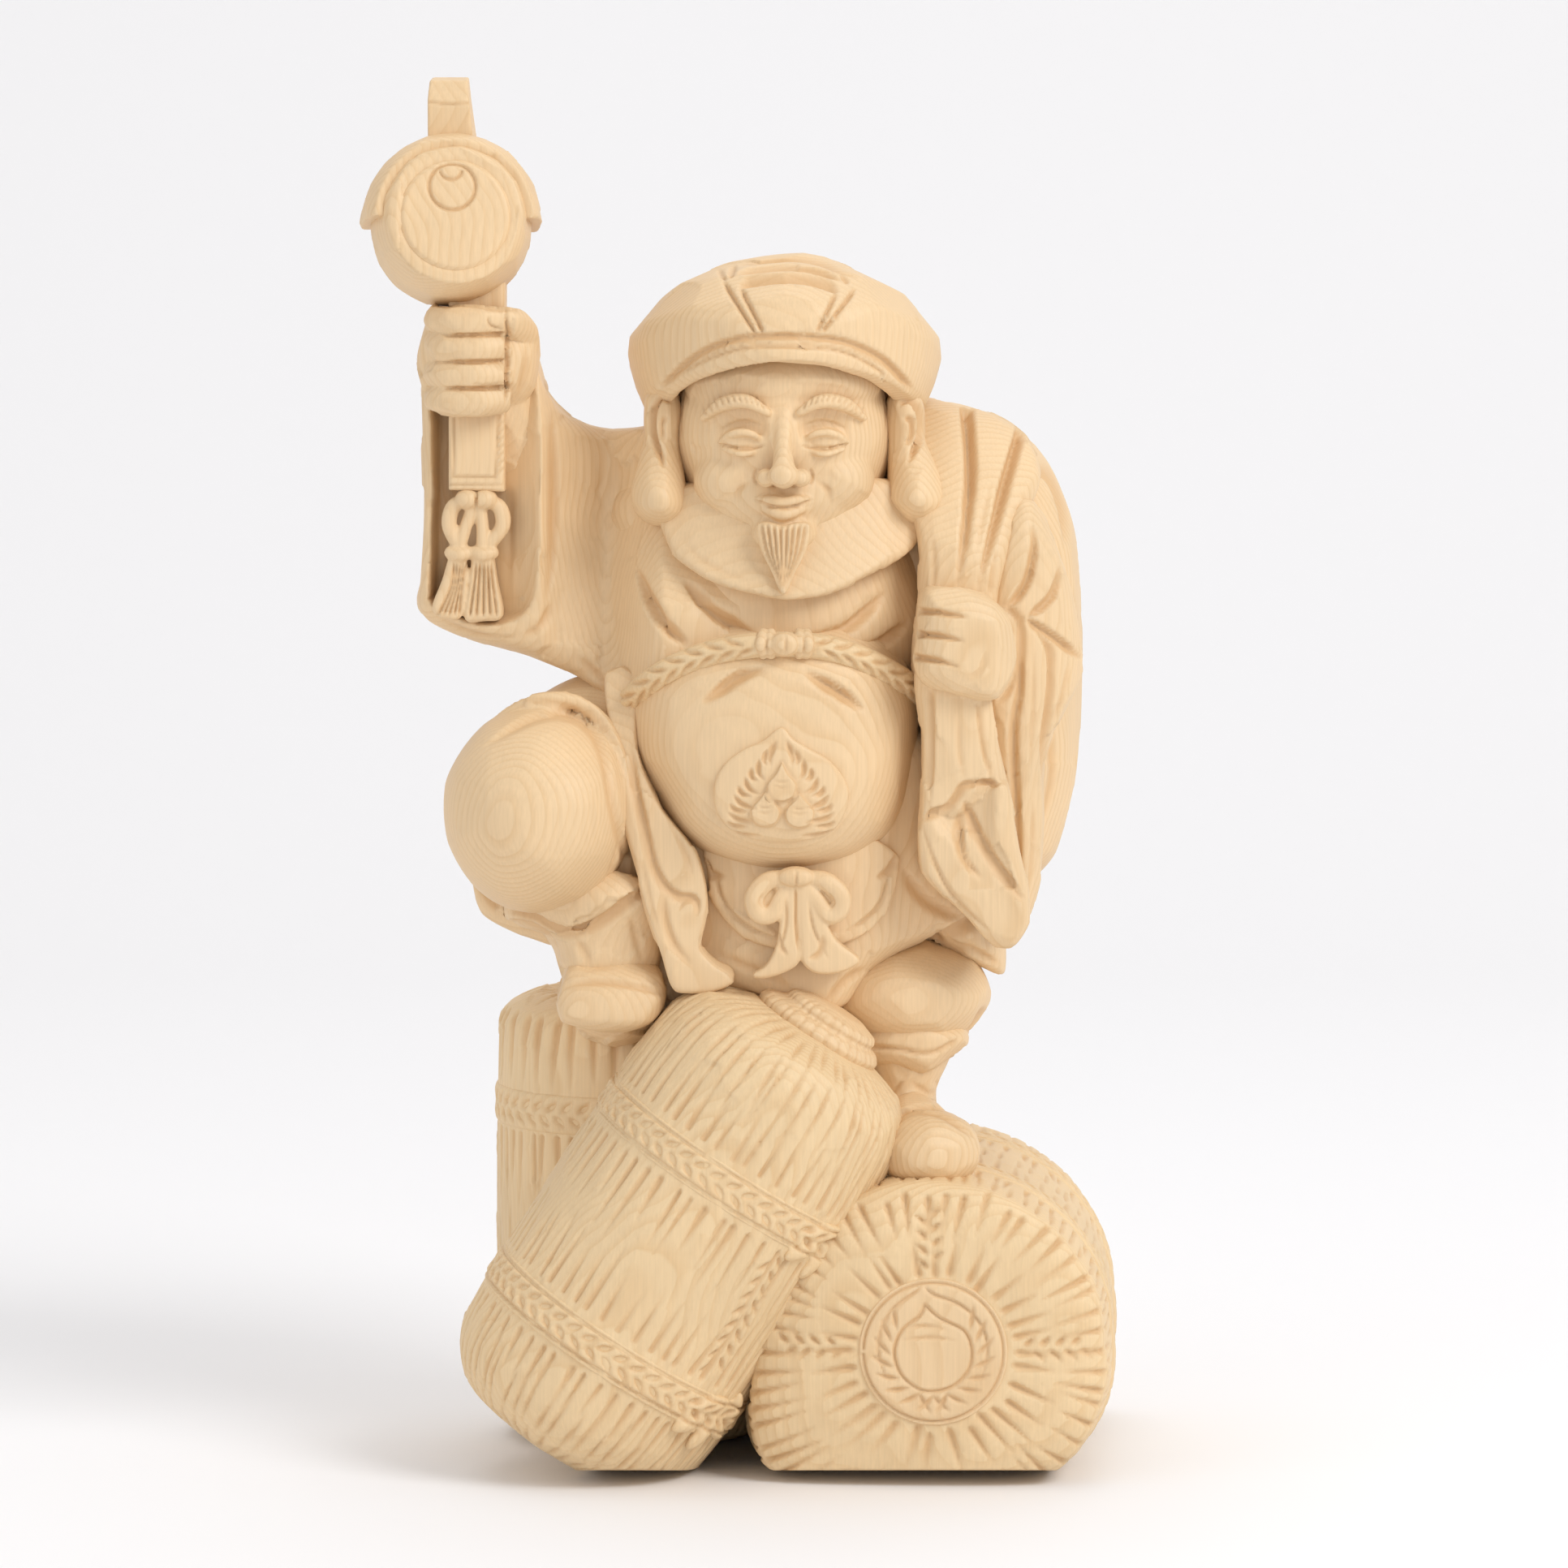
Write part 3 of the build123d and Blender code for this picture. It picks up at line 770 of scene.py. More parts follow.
def lift(piece, outline, height, soft=1.0):
    """Raises or sinks what lies inside an outline of the front view."""
    points, normals = read(piece), read(piece, "normal")
    depth = inside(points[:, 0], points[:, 2], outline)
    share = np.clip(depth / soft + 0.5, 0, 1) * np.clip(-normals[:, 1] * 4, 0, 1)
    write(piece, points + normals * (height * share)[:, None])


foot = relief(curve([
    (-39.6, 103), (-39.5, 98.8), (-37.2, 97.2), (-28, 96.0), (-20.5, 97.2), (-17.5, 100.5), (-17.0, 106.5),
    (-20.5, 110.5), (-29, 111.5), (-37.0, 109.5),
], 5, closed=True), lambda x, z: -32.0 + 0.020 * (x + 27)**2 + 0.05 * np.clip(z - 100, 0, 20)**2,
    8, 3, 4, 0.6)
ankle = limb([(-27.2, -12, 102), (-28.6, -14.5, 109), (-29.4, -13, 116), (-31.5, -9, 125)],
    [11.6, 11.4, 13.0, 18])
boot = block("right_boot", [foot, ankle, lump((-20, -2, 106), (7.5, 10, 9))], 0.6, 6)
whittle(boot, 7, 0.5, 21)
front_cuts(boot, [
    line([(-38.6, 105.0), (-34.5, 106.6), (-29, 106.9), (-22, 105.8), (-15.5, 103.6)], 2.0, 0.7, (0.25, 0.25)),
    line([(-36.5, 111.5), (-31, 110.2), (-24, 111.6)], 2.4, 0.45, (0.4, 0.5)),
    line([(-22, 118), (-18.8, 112.5), (-16.5, 106)], 2.0, 0.6, (0.4, 0.4)),
])
finish_piece(boot, ["right_boot"], figure_wood)

# The knee is a smooth ball of cloth; the robe's hem lies round it as a thin raised lip.
knee = lump((-43.6, -20, 143.2), (20.8, 26, 22.2))
thigh = lump((-27, 0, 147), (27, 24, 25))
hem = limb([
    (-54.6, -16, 160.5), (-48.2, -20.5, 165.6), (-40.8, -22.5, 167.4), (-34.5, -22.5, 166.0),
    (-29.4, -23.5, 161.8), (-26.6, -27, 155.5), (-25.0, -29.0, 147.0), (-24.2, -25.5, 139.5), (-24.6, -19, 134),
], [1.0, 1.4, 1.6, 1.6, 1.6, 1.6, 1.5, 1.2, 0.8])
leg = block("right_leg", [knee, thigh, hem, lump((-33.5, -14, 152), (10.5, 13, 14))], 0.7, 4)
whittle(leg, 12, 0.3, 22)
front_cuts(leg, [
    fold([(-55, 158.0), (-47.6, 162.9), (-40.4, 164.8), (-34.7, 163.5), (-30.9, 159.7), (-28.6, 153.8),
        (-27.2, 146.2),
          (-25.7, 138), (-25.4, 131)], 0.9, 1.7, 1.3, (0.15, 0.15)),
    line([(-25.8, 141.5), (-26.6, 135), (-29.6, 128)], 1.4, 0.9),
], 1.0, 0.4)
finish_piece(leg, ["right_leg"], figure_wood)

# The trouser cloth is gathered to the boot like a funnel; behind it at the left hangs a thin hem.
hem_sheet = relief(curve([
    (-59.0, 134), (-58.9, 127.5), (-58.0, 122.3), (-55.9, 118.6), (-51.5, 115.9), (-45.5, 113.7),
    (-39.5, 112.4),
    (-34, 116), (-34, 130), (-46, 136),
], 5, closed=True), lambda x, z: -8 - 0.20 * (x + 59), 4, 2.5, 3, 0.6)
funnel = relief(curve([
    (-49.2, 131), (-50.4, 122.8), (-50.3, 119.9), (-48.6, 117.6), (-45.0, 116.6), (-41.6, 115.3),
    (-39.6, 113.0),
    (-38.6, 109.0), (-34, 106.5), (-22, 107), (-17.6, 110.4), (-16.6, 118), (-17.0, 125), (-25, 129),
    (-40, 131),
], 5, closed=True), lambda x, z: -26.5 - 0.022 * np.clip(z - 111, 0, 13)**2 + 0.022 * (x + 29)**2,
    6, 5, 6, 0.6)
cuff = block("right_cuff", [hem_sheet, funnel], 0.6, 2)
lift(cuff, [
    (-53, 120.6), (-50.2, 118.8), (-47.6, 119.8), (-44.4, 119.6), (-41.4, 117.8), (-38.6, 116.6),
    (-35.6, 116.8),
    (-32.6, 118.4), (-29.5, 120.8), (-25.4, 124.2), (-20.6, 127.0), (-16, 130), (-16, 142), (-53, 142),
], 1.5, 0.9)
whittle(cuff, 9, 0.4, 23)
front_cuts(cuff, [
    fold([(-50.6, 121.4), (-47.6, 121.6), (-44.4, 120.6), (-41.4, 119.0), (-37.6, 117.9), (-33.6, 119.0),
        (-29.5, 121.2),
          (-25.4, 124.4), (-20.6, 127.2)], 0.7, 2.6, 1.8, (0.1, 0.12)),
    fold([(-50.0, 119.2), (-46.2, 118.6), (-42.2, 116.4), (-39.8, 113.6)], 0.6, 1.4, 0.9, (0.2, 0.2)),
    line([(-57.6, 126), (-54.0, 121.6), (-51.4, 120.2)], 1.8, 0.8),
    line([(-36, 116), (-33.6, 112.6), (-33, 109.6)], 2.4, 0.5),
    line([(-24, 121), (-22.8, 116), (-21.5, 111)], 2.4, 0.6),
])
finish_piece(cuff, ["right_leg"], figure_wood)

foot = lump((39.6, -26, 70.2), (11.6, 15, 8.6))
toe = lump((40.2, -31, 70.4), (11.0, 9.5, 8.8))
arch = lump((37.0, -20, 74), (8.0, 12, 7))
ankle = limb([(35.8, -13, 70), (34.8, -12, 78.5), (34.6, -11, 86), (35.2, -10, 94)], [10.5, 7.4, 9.6, 12.5])
boot = block("left_boot", [foot, toe, arch, ankle], 0.55, 6)
whittle(boot, 6, 0.5, 24)
front_cuts(boot, [
    line([(28.8, 69.0), (31.2, 75.0), (35.9, 79.0), (43, 78.6), (50.4, 73.5)], 1.5, 0.8, (0.2, 0.2)),
    line([(29, 78.5), (32.5, 81.4), (35, 85)], 1.3, 0.5),
    line([(36.5, 84), (39.5, 81.5), (43.4, 80.4)], 2.0, 0.5),
])
finish_piece(boot, ["left_boot"], figure_wood)

thigh = lump((34.8, -5, 102.0), (19.0, 20.5, 12.4))
leg = block("left_leg", [thigh], 0.65, 0)
whittle(leg, 9, 0.5, 25)
front_cuts(leg, [
    fold([(47.5, 92.5), (50.5, 95.5), (52.2, 99.5)], 1.0, 2.0, 1.0),
    line([(22, 93.5), (30, 91.8), (38, 92.6)], 1.4, 0.5),
])
finish_piece(leg, ["left_leg"], figure_wood)

cuff_outline = curve([
    (22.4, 94.5), (23.6, 90.0), (27.5, 87.2), (33.0, 86.8), (38.0, 85.8), (41.6, 86.4), (44.8, 88.8),
    (48.8, 91.4), (48.6, 94.0), (45, 96.4), (34, 97.5), (25, 97),
], 5, closed=True)
cuff = relief(cuff_outline, lambda x, z: -22.5 + 0.03 * (x - 36)**2, 6, 5, 5, 0.6)
cuff = block("left_cuff", [cuff], 0.6, 2)
whittle(cuff, 6, 0.5, 26)
front_cuts(cuff, [
    line([(23.0, 93.6), (28, 91.8), (34, 91.4), (39, 90.4), (43, 91.2), (47.4, 93.6)], 1.6, 0.9, (0.1, 0.1)),
])
finish_piece(cuff, ["left_leg"], figure_wood)


# ---------------------------------------------------------------- robe
# The body of the figure: chest and back under a robe that is drawn in by the rope, and its skirt,
# which comes to a point between the legs and lifts at the left where the wind catches it. Cut from
# the main block; the head, arms and legs are glued to it.
chest = lump((9, -2, 182), (33, 29, 38))
shoulders = lump((6, 1, 205), (35, 20, 20))
back_lump = lump((8, 8, 170), (31, 24, 45))
robe = block("robe", [chest, shoulders, back_lump], 0.85, 8)
whittle(robe, 11, 0.5, 31)
chest_folds = [
    fold([(-22.9, 195), (-20.6, 188.2), (-16.7, 182.6), (-11.6, 179.2)], 2.8, 0.8, 2.6, (0.35, 0.25)),
    fold([(-12.6, 193), (-8.3, 187.4), (-3.4, 183.5), (3.4, 180.7)], 2.8, 0.8, 2.6, (0.3, 0.3)),
    fold([(12.7, 180.6), (21.5, 183.2), (26.4, 186.8), (30.6, 190.6)], 0.8, 2.4, 2.1, (0.35, 0.3)),
    fold([(23.6, 178), (29.3, 179.8), (35.8, 184.2)], 0.8, 2.2, 1.9, (0.35, 0.3)),
]
front_cuts(robe, chest_folds)
back_cuts(robe, [
    fold([(-20, 206), (-10, 196), (2, 186), (10, 172)], 3.0, 1.0, 2.0, (0.3, 0.3)),
    fold([(-22, 192), (-14, 182), (-4, 172), (2, 160)], 3.0, 1.0, 2.0, (0.3, 0.3)),
    fold([(-20, 174), (-12, 164), (-4, 156), (0, 146)], 3.0, 1.0, 1.8, (0.3, 0.3)),
])
finish_piece(robe, ["robe"], figure_wood)

skirt_outline = curve([
    (-23.5, 150), (-19.5, 128), (-16.5, 116), (-14, 105.6), (-4.5, 103.6), (3.0, 102.2), (11.5, 100.0),
    (17.5, 98.6), (23.0, 101.4), (28.0, 107.8), (34.0, 111.4), (41.1, 114.0), (46.5, 110.6), (52.0, 107.4),
    (57.0, 105.6), (57.5, 113), (55.5, 126), (52.0, 140), (47.0, 156), (30, 163), (0, 163),
], 5, closed=True)
skirt = relief(
    skirt_outline, lambda x, z: -27.5 + 0.009 * (x - 12)**2 + 0.09 * (z - 118) * (z < 118), 33, 8, 9, 0.85)
skirt = block("skirt", [skirt, lump((8, 4, 108), (21, 18, 10)), lump((-15, -4, 106), (8, 17, 10))], 0.85, 3)
whittle(skirt, 10, 0.5, 32)
front_cuts(skirt, [
    fold([(55, 123), (48, 118.5), (42, 114.8), (35, 110.0), (30, 107.6)], 3.4, 0.9, 1.6, (0.3, 0.3)),
    fold([(50, 112), (46, 113.5), (42, 117)], 2.6, 0.9, 1.2),
    fold([(34.5, 131), (40, 124), (48, 119)], 1.0, 2.4, 1.2),
    fold([(18.5, 101.8), (22, 106), (27, 109.2)], 2.0, 0.8, 1.0),
    line([(-6, 113), (2, 109.5), (10, 106)], 2.2, 0.6),
    fold([(56.6, 108), (52, 110.5), (47, 114)], 0.8, 1.6, 1.0),
])
back_cuts(skirt, [
    fold([(-12, 156), (-8, 140), (-6, 122), (-7, 108)], 1.0, 3.2, 2.2, (0.3, 0.1)),
    fold([(4, 158), (8, 140), (10, 120), (9, 104)], 1.0, 3.2, 2.2, (0.3, 0.1)),
    fold([(26, 150), (28, 134), (27, 116), (25, 104)], 1.0, 3.2, 2.2, (0.3, 0.1)),
])
finish_piece(skirt, ["robe"], figure_wood)

# The front edge of the robe falls from the hip to the front bale and turns over in an S.
flap_outline = curve([
    (-29.5, 172), (-28.0, 158), (-26.8, 149), (-25.0, 139), (-22.6, 130.5), (-20.4, 122), (-17.4, 113),
    (-14.6, 105.6), (-8.0, 104.6), (-2.6, 106.4), (-2.4, 109.2), (-6.2, 111.4), (-8.7, 114.8), (-7.5, 121.5),
    (-7.9, 128.8), (-10.9, 136.4), (-17.2, 144.4), (-21.0, 152.5), (-22.6, 160), (-22.5, 172),
], 5, closed=True)
flap = relief(
    flap_outline, lambda x, z: -32.0 + 0.4 * np.clip(z - 146, 0, 40) + 0.2 * np.clip(-20 - x, 0, 10),
    -2, 1.0, 1.4, 0.5)
flap = block("robe_flap", [flap], 0.5, 2)
whittle(flap, 8, 0.45, 33)
front_cuts(flap, [
    fold([(-23.6, 158), (-22.2, 148), (-20.2, 139.5), (-18.6, 132.8), (-16.2, 128.2), (-13.2, 126.0),
        (-10.4, 125.6),
          (-9.2, 123.8), (-9.6, 121.4)], 0.7, 2.2, 1.3, (0.2, 0.12)),
    fold([(-16.4, 128.0), (-16.2, 121.0), (-14.0, 115.0), (-10.6, 110.6)], 0.8, 2.0, 0.8, (0.3, 0.3)),
    line([(-10.2, 125.2), (-12.4, 124.2), (-13.4, 122.4)], 1.2, 0.8, (0.2, 0.4)),
    line([(-21.6, 134), (-19.6, 124), (-17.0, 116)], 1.6, 0.4),
    line([(-14.8, 140.4), (-11.8, 134.6), (-10.6, 130)], 1.6, 0.6),
])
finish_piece(flap, ["robe_flap"], figure_wood)


# ---------------------------------------------------------------- belly and its crest
# A big smooth belly with two gouged creases under the rope, glued into the robe's opening. On it
# stands a flaming triple jewel in low relief, inside a heart-shaped field.
def on_belly(x, z):
    return -40.5 + 0.012 * (x - 7)**2 + np.where(z > 152, 0.006, 0.010) * (z - 152)**2


belly_outline = curve([
    (-24.5, 162), (-23.5, 172), (-17, 180), (-6, 184), (9, 185), (24, 184), (33, 178), (37.4, 168), (37.4, 156),
    (34.6, 144), (29.3, 135.5), (15.4, 131.2), (1.6, 131.5), (-12.3, 137.3), (-18.9, 146.7), (-23.2, 154),
], 5, closed=True)
belly = relief(belly_outline, on_belly, -8, 12, 12, 0.7)
belly = block("belly", [belly], 0.7, 3)
whittle(belly, 13, 0.3, 41)
front_cuts(belly, [
    fold([(-8.6, 167.6), (-1.7, 173.4), (4.8, 175.2)], 0.8, 2.6, 2.2, (0.35, 0.35)),
    fold([(13.4, 174.6), (20.9, 170.6), (26.2, 166.0)], 0.8, 2.6, 2.2, (0.35, 0.35)),
])
finish_piece(belly, ["belly"], figure_wood)

crest_outline = curve([
    (8.4, 162.6), (5.0, 159.8), (1.2, 157.8), (-2.4, 154.6), (-4.3, 150.2), (-4.0, 144.9), (-1.3, 140.6),
    (2.9, 138.6), (8.4, 137.8), (13.9, 138.4), (18.4, 140.4), (21.1, 145.8), (20.8, 150.4), (17.8, 155.2),
    (13.4, 158.2), (10.6, 160.2),
], 5, closed=True)
crest_outline[:, 0] = 8.4 + 1.12 * (crest_outline[:, 0] - 8.4)


def on_crest(x, z):
    return on_belly(x, z) - 1.4 + 1.3 * np.clip((144.5 - z) / 6.5, 0, 1)**2


crest = relief(crest_outline, on_crest, lambda x, z: on_crest(x, z) + 4.0, 0.6, 0.9, 0.32)
crest.name = "belly_crest"
strokes = []
for x, tip_z, middle_z in ((8.5, 155.6, 150.1), (5.0, 149.2, 144.6), (12.3, 148.9, 144.3)):
    jewel = curve([
        (x, tip_z), (x - 1.4, middle_z + 3.0), (x - 3.3, middle_z + 0.6), (x - 2.6, middle_z - 2.3),
        (x, middle_z - 3.4), (x + 2.6, middle_z - 2.3), (x + 3.3, middle_z + 0.6), (x + 1.4, middle_z + 3.0),
    ], 4, closed=True)
    lift(crest, jewel, 0.9, 0.5)
    strokes.append((np.vstack([jewel, jewel[:1]]), 0.45, 0.45, 0.5, (0, 0)))
    for up in (0.2, 1.4):
        strokes.append(line([(x - 1.9, middle_z + up), (x, middle_z + up - 0.4), (x + 1.7, middle_z + up)],
                            0.7, 0.35, (0.4, 0.4)))
for side in (-1, 1):
    for i in range(11):
        t = i / 10
        root = (8.4 + side * (1.0 + 10.6 * math.sin(t * 1.75)), 160.0 - 19.5 * t)
        tip = (8.4 + side * (2.2 + 2.8 * math.sin(t * 2.4)), 155.8 - 15.0 * t - 1.5)
        if i % 2:
            tip = ((root[0] + 2 * tip[0]) / 3, (root[1] + 2 * tip[1]) / 3)
        middle = ((root[0] + tip[0]) / 2 + side * 0.8, (root[1] + tip[1]) / 2 - 0.6)
        strokes.append(line([root, middle, tip], 1.6, 0.9, (0.3, 0.45)))
front_cuts(crest, strokes)
finish_piece(crest, ["belly_crest"], figure_wood)


# ---------------------------------------------------------------- rope belt and its knot
# A two-strand rope, carved in cypress, lies over the top of the belly, with a bead between small
# bands in the middle. It is glued along the crease between belly and chest.
belt_path = [
    (-27.5, -14, 162.8), (-24.6, -20, 166.4), (-18.6, -29.0, 172.2), (-10.5, -32.6, 176.6),
    (-1.0, -35.0, 179.2),
    (9.0, -35.6, 180.0), (18.5, -34.3, 179.0), (27.0, -31.6, 176.0), (34.6, -25.6, 171.4), (39.5, -18, 167.3),
]
belt = block("rope_belt", [limb(belt_path, [2.8] * 10)], 0.36, 1)
middle_line = curve([(x, z) for x, y, z in belt_path], 8)
left_part = middle_line[middle_line[:, 0] < 3][::-1]
right_part = middle_line[middle_line[:, 0] > 15]
front_cuts(belt, braid(left_part, 2.5, 4.3, 4.6, 0.95) + braid(right_part, 2.5, 4.3, 4.6, 0.95))
finish_piece(belt, ["rope_belt"], straw_wood)

bead = lump((9.2, -38.2, 180.2), (3.2, 2.6, 2.7))
bands = [
    limb([(x, -36.6, 177.9), (x - s * 0.5, -38.2, 180.2), (x, -36.4, 182.4)], [1.15, 1.25, 1.15])
    for x, s in ((4.6, 1), (13.8, -1), (6.3, 1), (12.2, -1))
]
knot = block("belt_knot", [bead] + bands, 0.3, 1)
front_cuts(knot, [
    line([(9.2, 182.6), (9.4, 180), (9.2, 177.8)], 0.8, 0.5),
    line([(5.5, 182), (5.2, 180), (5.5, 178)], 0.7, 0.5), line([(13, 182), (13.3, 180), (13, 178)], 0.7, 0.5),
])
finish_piece(knot, ["belt_knot"], figure_wood)


# ---------------------------------------------------------------- apron and bow
# A half-round apron hangs under the belly, and the cord of the robe is tied over it in a bow. Both
# are thin carved pieces with knife-cut borders and folds, glued to the skirt.
apron_outline = curve([
    (-6.5, 137), (-7.6, 131.0), (-6.6, 124.4), (-2.0, 118.2), (4.0, 115.0), (11.5, 113.4), (19.0, 114.2),
    (26.8, 117.6), (31.6, 123.0), (33.4, 129.5), (32.6, 134.6), (26, 138), (13, 140),
], 5, closed=True)
apron = relief(apron_outline, lambda x, z: -29.4 + 0.009 * (x - 12)**2, -12, 0.5, 0.8, 0.45)
apron.name = "apron"
whittle(apron, 8, 0.5, 51)
front_cuts(apron, [
    fold([(-8.0, 133.5), (-6.8, 130.2), (-3.6, 129.6)], 0.9, 1.8, 1.1, (0.3, 0.3)),
    fold([(33.6, 134.5), (31.6, 131.0), (28.8, 129.1)], 1.8, 0.9, 1.1, (0.3, 0.3)),
    line([(-5.8, 131.5), (-4.6, 125.2), (-0.8, 120.2), (4.4, 117.2), (9.5, 115.8)], 1.2, 0.9, (0.15, 0.3)),
    line([(31.6, 130), (29.8, 124), (26, 120.0), (21.5, 117.4)], 1.2, 0.9, (0.15, 0.3)),
])
finish_piece(apron, ["apron"], figure_wood)

left_loop = [(9.0, -32.6, 129.6), (5.4, -33.4, 129.0), (2.6, -33.6, 125.6), (3.6, -33.4, 122.0),
    (6.4, -33.4, 122.0),
             (8.4, -33.2, 125.4), (9.8, -32.8, 128.8)]
right_loop = [(14.0, -32.6, 129.6), (18.0, -33.4, 129.0), (21.2, -33.6, 125.8), (20.6, -33.4, 122.4),
              (18.2, -33.4, 121.8), (15.8, -33.2, 125.2), (13.4, -32.8, 128.8)]
left_tail = relief(curve([
    (9.6, 129), (12.2, 128), (12.2, 119), (12.4, 112.0), (8.7, 109.2), (3.8, 108.0), (2.3, 109.0), (5.2, 111.0),
    (7.4, 115.4), (8.2, 121.4), (9.0, 125),
], 4, closed=True), -34.4, -29, 0.8, 1.4, 0.32)
right_tail = relief(curve([
    (12.0, 128), (14.6, 129), (17.6, 121.4), (20.2, 116.4), (25.0, 112.6), (24.2, 110.8), (20.3, 109.2),
    (15.8, 109.2), (13.0, 111.4), (12.6, 115), (12.2, 120),
], 4, closed=True), -34.4, -29, 0.8, 1.4, 0.32)
bow = block("waist_bow", [
    limb(left_loop, [1.8, 2.1, 2.2, 2.1, 2.0, 1.9, 1.4], 0.85),
    limb(right_loop, [1.8, 2.1, 2.2, 2.1, 2.0, 1.9, 1.4], 0.85),
    left_tail, right_tail, lump((5.4, -31.4, 125.6), (2.6, 1.8, 3.2)),
    lump((18.4, -31.4, 125.6), (2.6, 1.8, 3.2)), lump((11.5, -33.6, 130.0), (4.2, 2.6, 2.3)),
], 0.32, 2)
front_cuts(bow, [
    line([(11.5, 127.8), (11.6, 120), (12.2, 113.5)], 0.9, 0.8, (0.1, 0.2)),
    line([(11.5, 131.8), (11.6, 129.5), (11.5, 127.5)], 0.8, 0.6, (0.3, 0.3)),
    line([(9.4, 126), (9.4, 119.5), (7.6, 113)], 1.0, 0.6),
    line([(14.2, 125), (15.4, 118.5), (18.6, 112.2)], 1.0, 0.6),
    fold([(7.4, 118.6), (8.6, 115.0), (9.8, 113.2)], 0.5, 1.3, 0.7),
    fold([(17.2, 117.6), (16.4, 114.0), (14.0, 112.4)], 1.3, 0.5, 0.7),
    line([(4.6, 126.6), (3.9, 124.6), (4.8, 123.4)], 0.8, 0.4),
    line([(18.6, 126.6), (19.6, 124.6), (18.9, 123.4)], 0.8, 0.4),
])
finish_piece(bow, ["waist_bow"], figure_wood)


# ---------------------------------------------------------------- head
# A round, full face with a calm closed smile and half-closed eyes. Long ear lobes, a short pointed
# beard. The features are a plain, general arrangement by thirds of the head.
face_x = 8.9
parts = [
    lump((face_x, -9, 224), (24.2, 24.5, 25)), lump((face_x, -13.5, 211.5), (19.8, 19.5, 13.6)),
    lump((face_x - 10, -21.5, 214.5), (9.5, 9.5, 8.6)), lump((face_x + 10, -21.5, 214.5), (9.5, 9.5, 8.6)),
    lump((face_x, -29.0, 203.4), (7.2, 5.4, 4.8)), lump((face_x, -16.5, 235), (21.5, 16.5, 10)),
    limb([(face_x, -31.5, 229), (face_x, -34.5, 222.5), (face_x, -37.0, 216.4)], [2.2, 2.0, 2.6]),
    lump((face_x, -37.3, 216.0), (3.3, 3.0, 2.7)),
]
head = block("head", parts, 0.42, 10)
whittle(head, 8, 0.25, 61)
# Shallow sockets under the brow, before the lids and the other small forms are set in.
sockets = []
for side in (-1, 1):
    x = face_x + side * 8.6
    sockets.append((curve([(x - side * 5.6, 224.6), (x, 225.6), (x + side * 6.2, 223.6)]), 4.2, 4.2, 1.7,
        (0.2, 0.3)))
front_cuts(head, sockets, 1.8, 0)
parts = [head]
for side in (-1, 1):
    x = face_x + side * 8.6
    parts += [
        lump((x, -29.3, 223.0), (4.9, 3.2, 2.9)),
        limb([(x - side * 4.7, -31.6, 222.5), (x - side * 2.2, -32.9, 224.5), (x + side * 0.6, -33.0, 225.0),
              (x + side * 3.2, -31.8, 224.2), (x + side * 5.2, -29.9, 222.7)], [0.5, 0.8, 0.9, 0.8, 0.45]),
        limb([(x - side * 4.2, -31.6, 221.4), (x, -32.8, 220.3), (x + side * 4.4, -30.4, 221.3)],
             [0.4, 0.7, 0.4]),
        limb([(face_x + side * 3.4, -33.6, 229.2), (face_x + side * 8.0, -33.6, 231.6),
              (face_x + side * 13.2, -31.0, 230.8), (face_x + side * 17.2, -27.2, 227.8)],
              [0.9, 1.6, 1.6, 0.8]),
        lump((face_x + side * 3.7, -34.9, 215.4), (2.2, 2.6, 2.0)),
    ]
lips_upper = [(-5.8, -31.8, 210.5), (-2.6, -33.9, 210.6), (0, -34.2, 210.2), (2.6, -33.9, 210.6),
    (5.8, -31.8, 210.5)]
parts += [
    limb([(face_x + x, y, z) for x, y, z in lips_upper], [0.7, 1.15, 1.1, 1.15, 0.7]),
    limb([(face_x - 4.6, -31.9, 208.9), (face_x, -34.0, 207.5), (face_x + 4.6, -31.9, 208.9)], [0.8, 1.4, 0.8]),
]
head = block("head", parts, 0.4, 3)
strokes = [
    line([(face_x - 6.6, 210.7), (face_x - 3.0, 209.4), (face_x, 209.0), (face_x + 3.0, 209.4),
        (face_x + 6.6, 210.7)],
         0.9, 0.75, (0.1, 0.1)),
    line([(face_x, 213.2), (face_x, 211.8)], 1.5, 0.35, (0.3, 0.3)),
]
for side in (-1, 1):
    x = face_x + side * 8.6
    strokes += [
        line([(x - side * 4.9, 222.2), (x, 221.5), (x + side * 5.2, 222.4)], 0.8, 0.75, (0.12, 0.12)),
        line([(x - side * 4.6, 226.3), (x, 227.3), (x + side * 5.4, 225.4)], 0.9, 0.45),
        line([(face_x + side * 5.6, 217.4), (face_x + side * 6.2, 215.2), (face_x + side * 5.2, 213.6)], 0.9,
            0.6),
        line([(face_x + side * 6.8, 214.8), (face_x + side * 9.4, 212.6), (face_x + side * 10.0, 209.4)], 1.8,
            0.55,
             (0.4, 0.5)),
        line([(face_x + side * 1.5, 213.7), (face_x + side * 2.8, 213.6)], 0.9, 0.6),
    ]
    for i in range(11):
        root_x = face_x + side * (4.0 + i * 1.25)
        root_z = 228.6 + 2.9 * math.sin((i + 1.5) / 12 * math.pi) - i * 0.08
        strokes.append(line([(root_x, root_z), (root_x + side * 0.9, root_z + 2.3)], 0.7, 0.5, (0.3, 0.5)))
    for i in range(4):
        top_x = face_x + side * (21.2 + 0.75 * i)
        strokes.append(line([(top_x, 235 - i * 1.4), (top_x + side * 0.9, 228),
            (top_x + side * 0.6, 222.5 + i)],
                            0.8, 0.5, (0.3, 0.5)))
front_cuts(head, strokes)
finish_piece(head, ["head"], figure_wood)

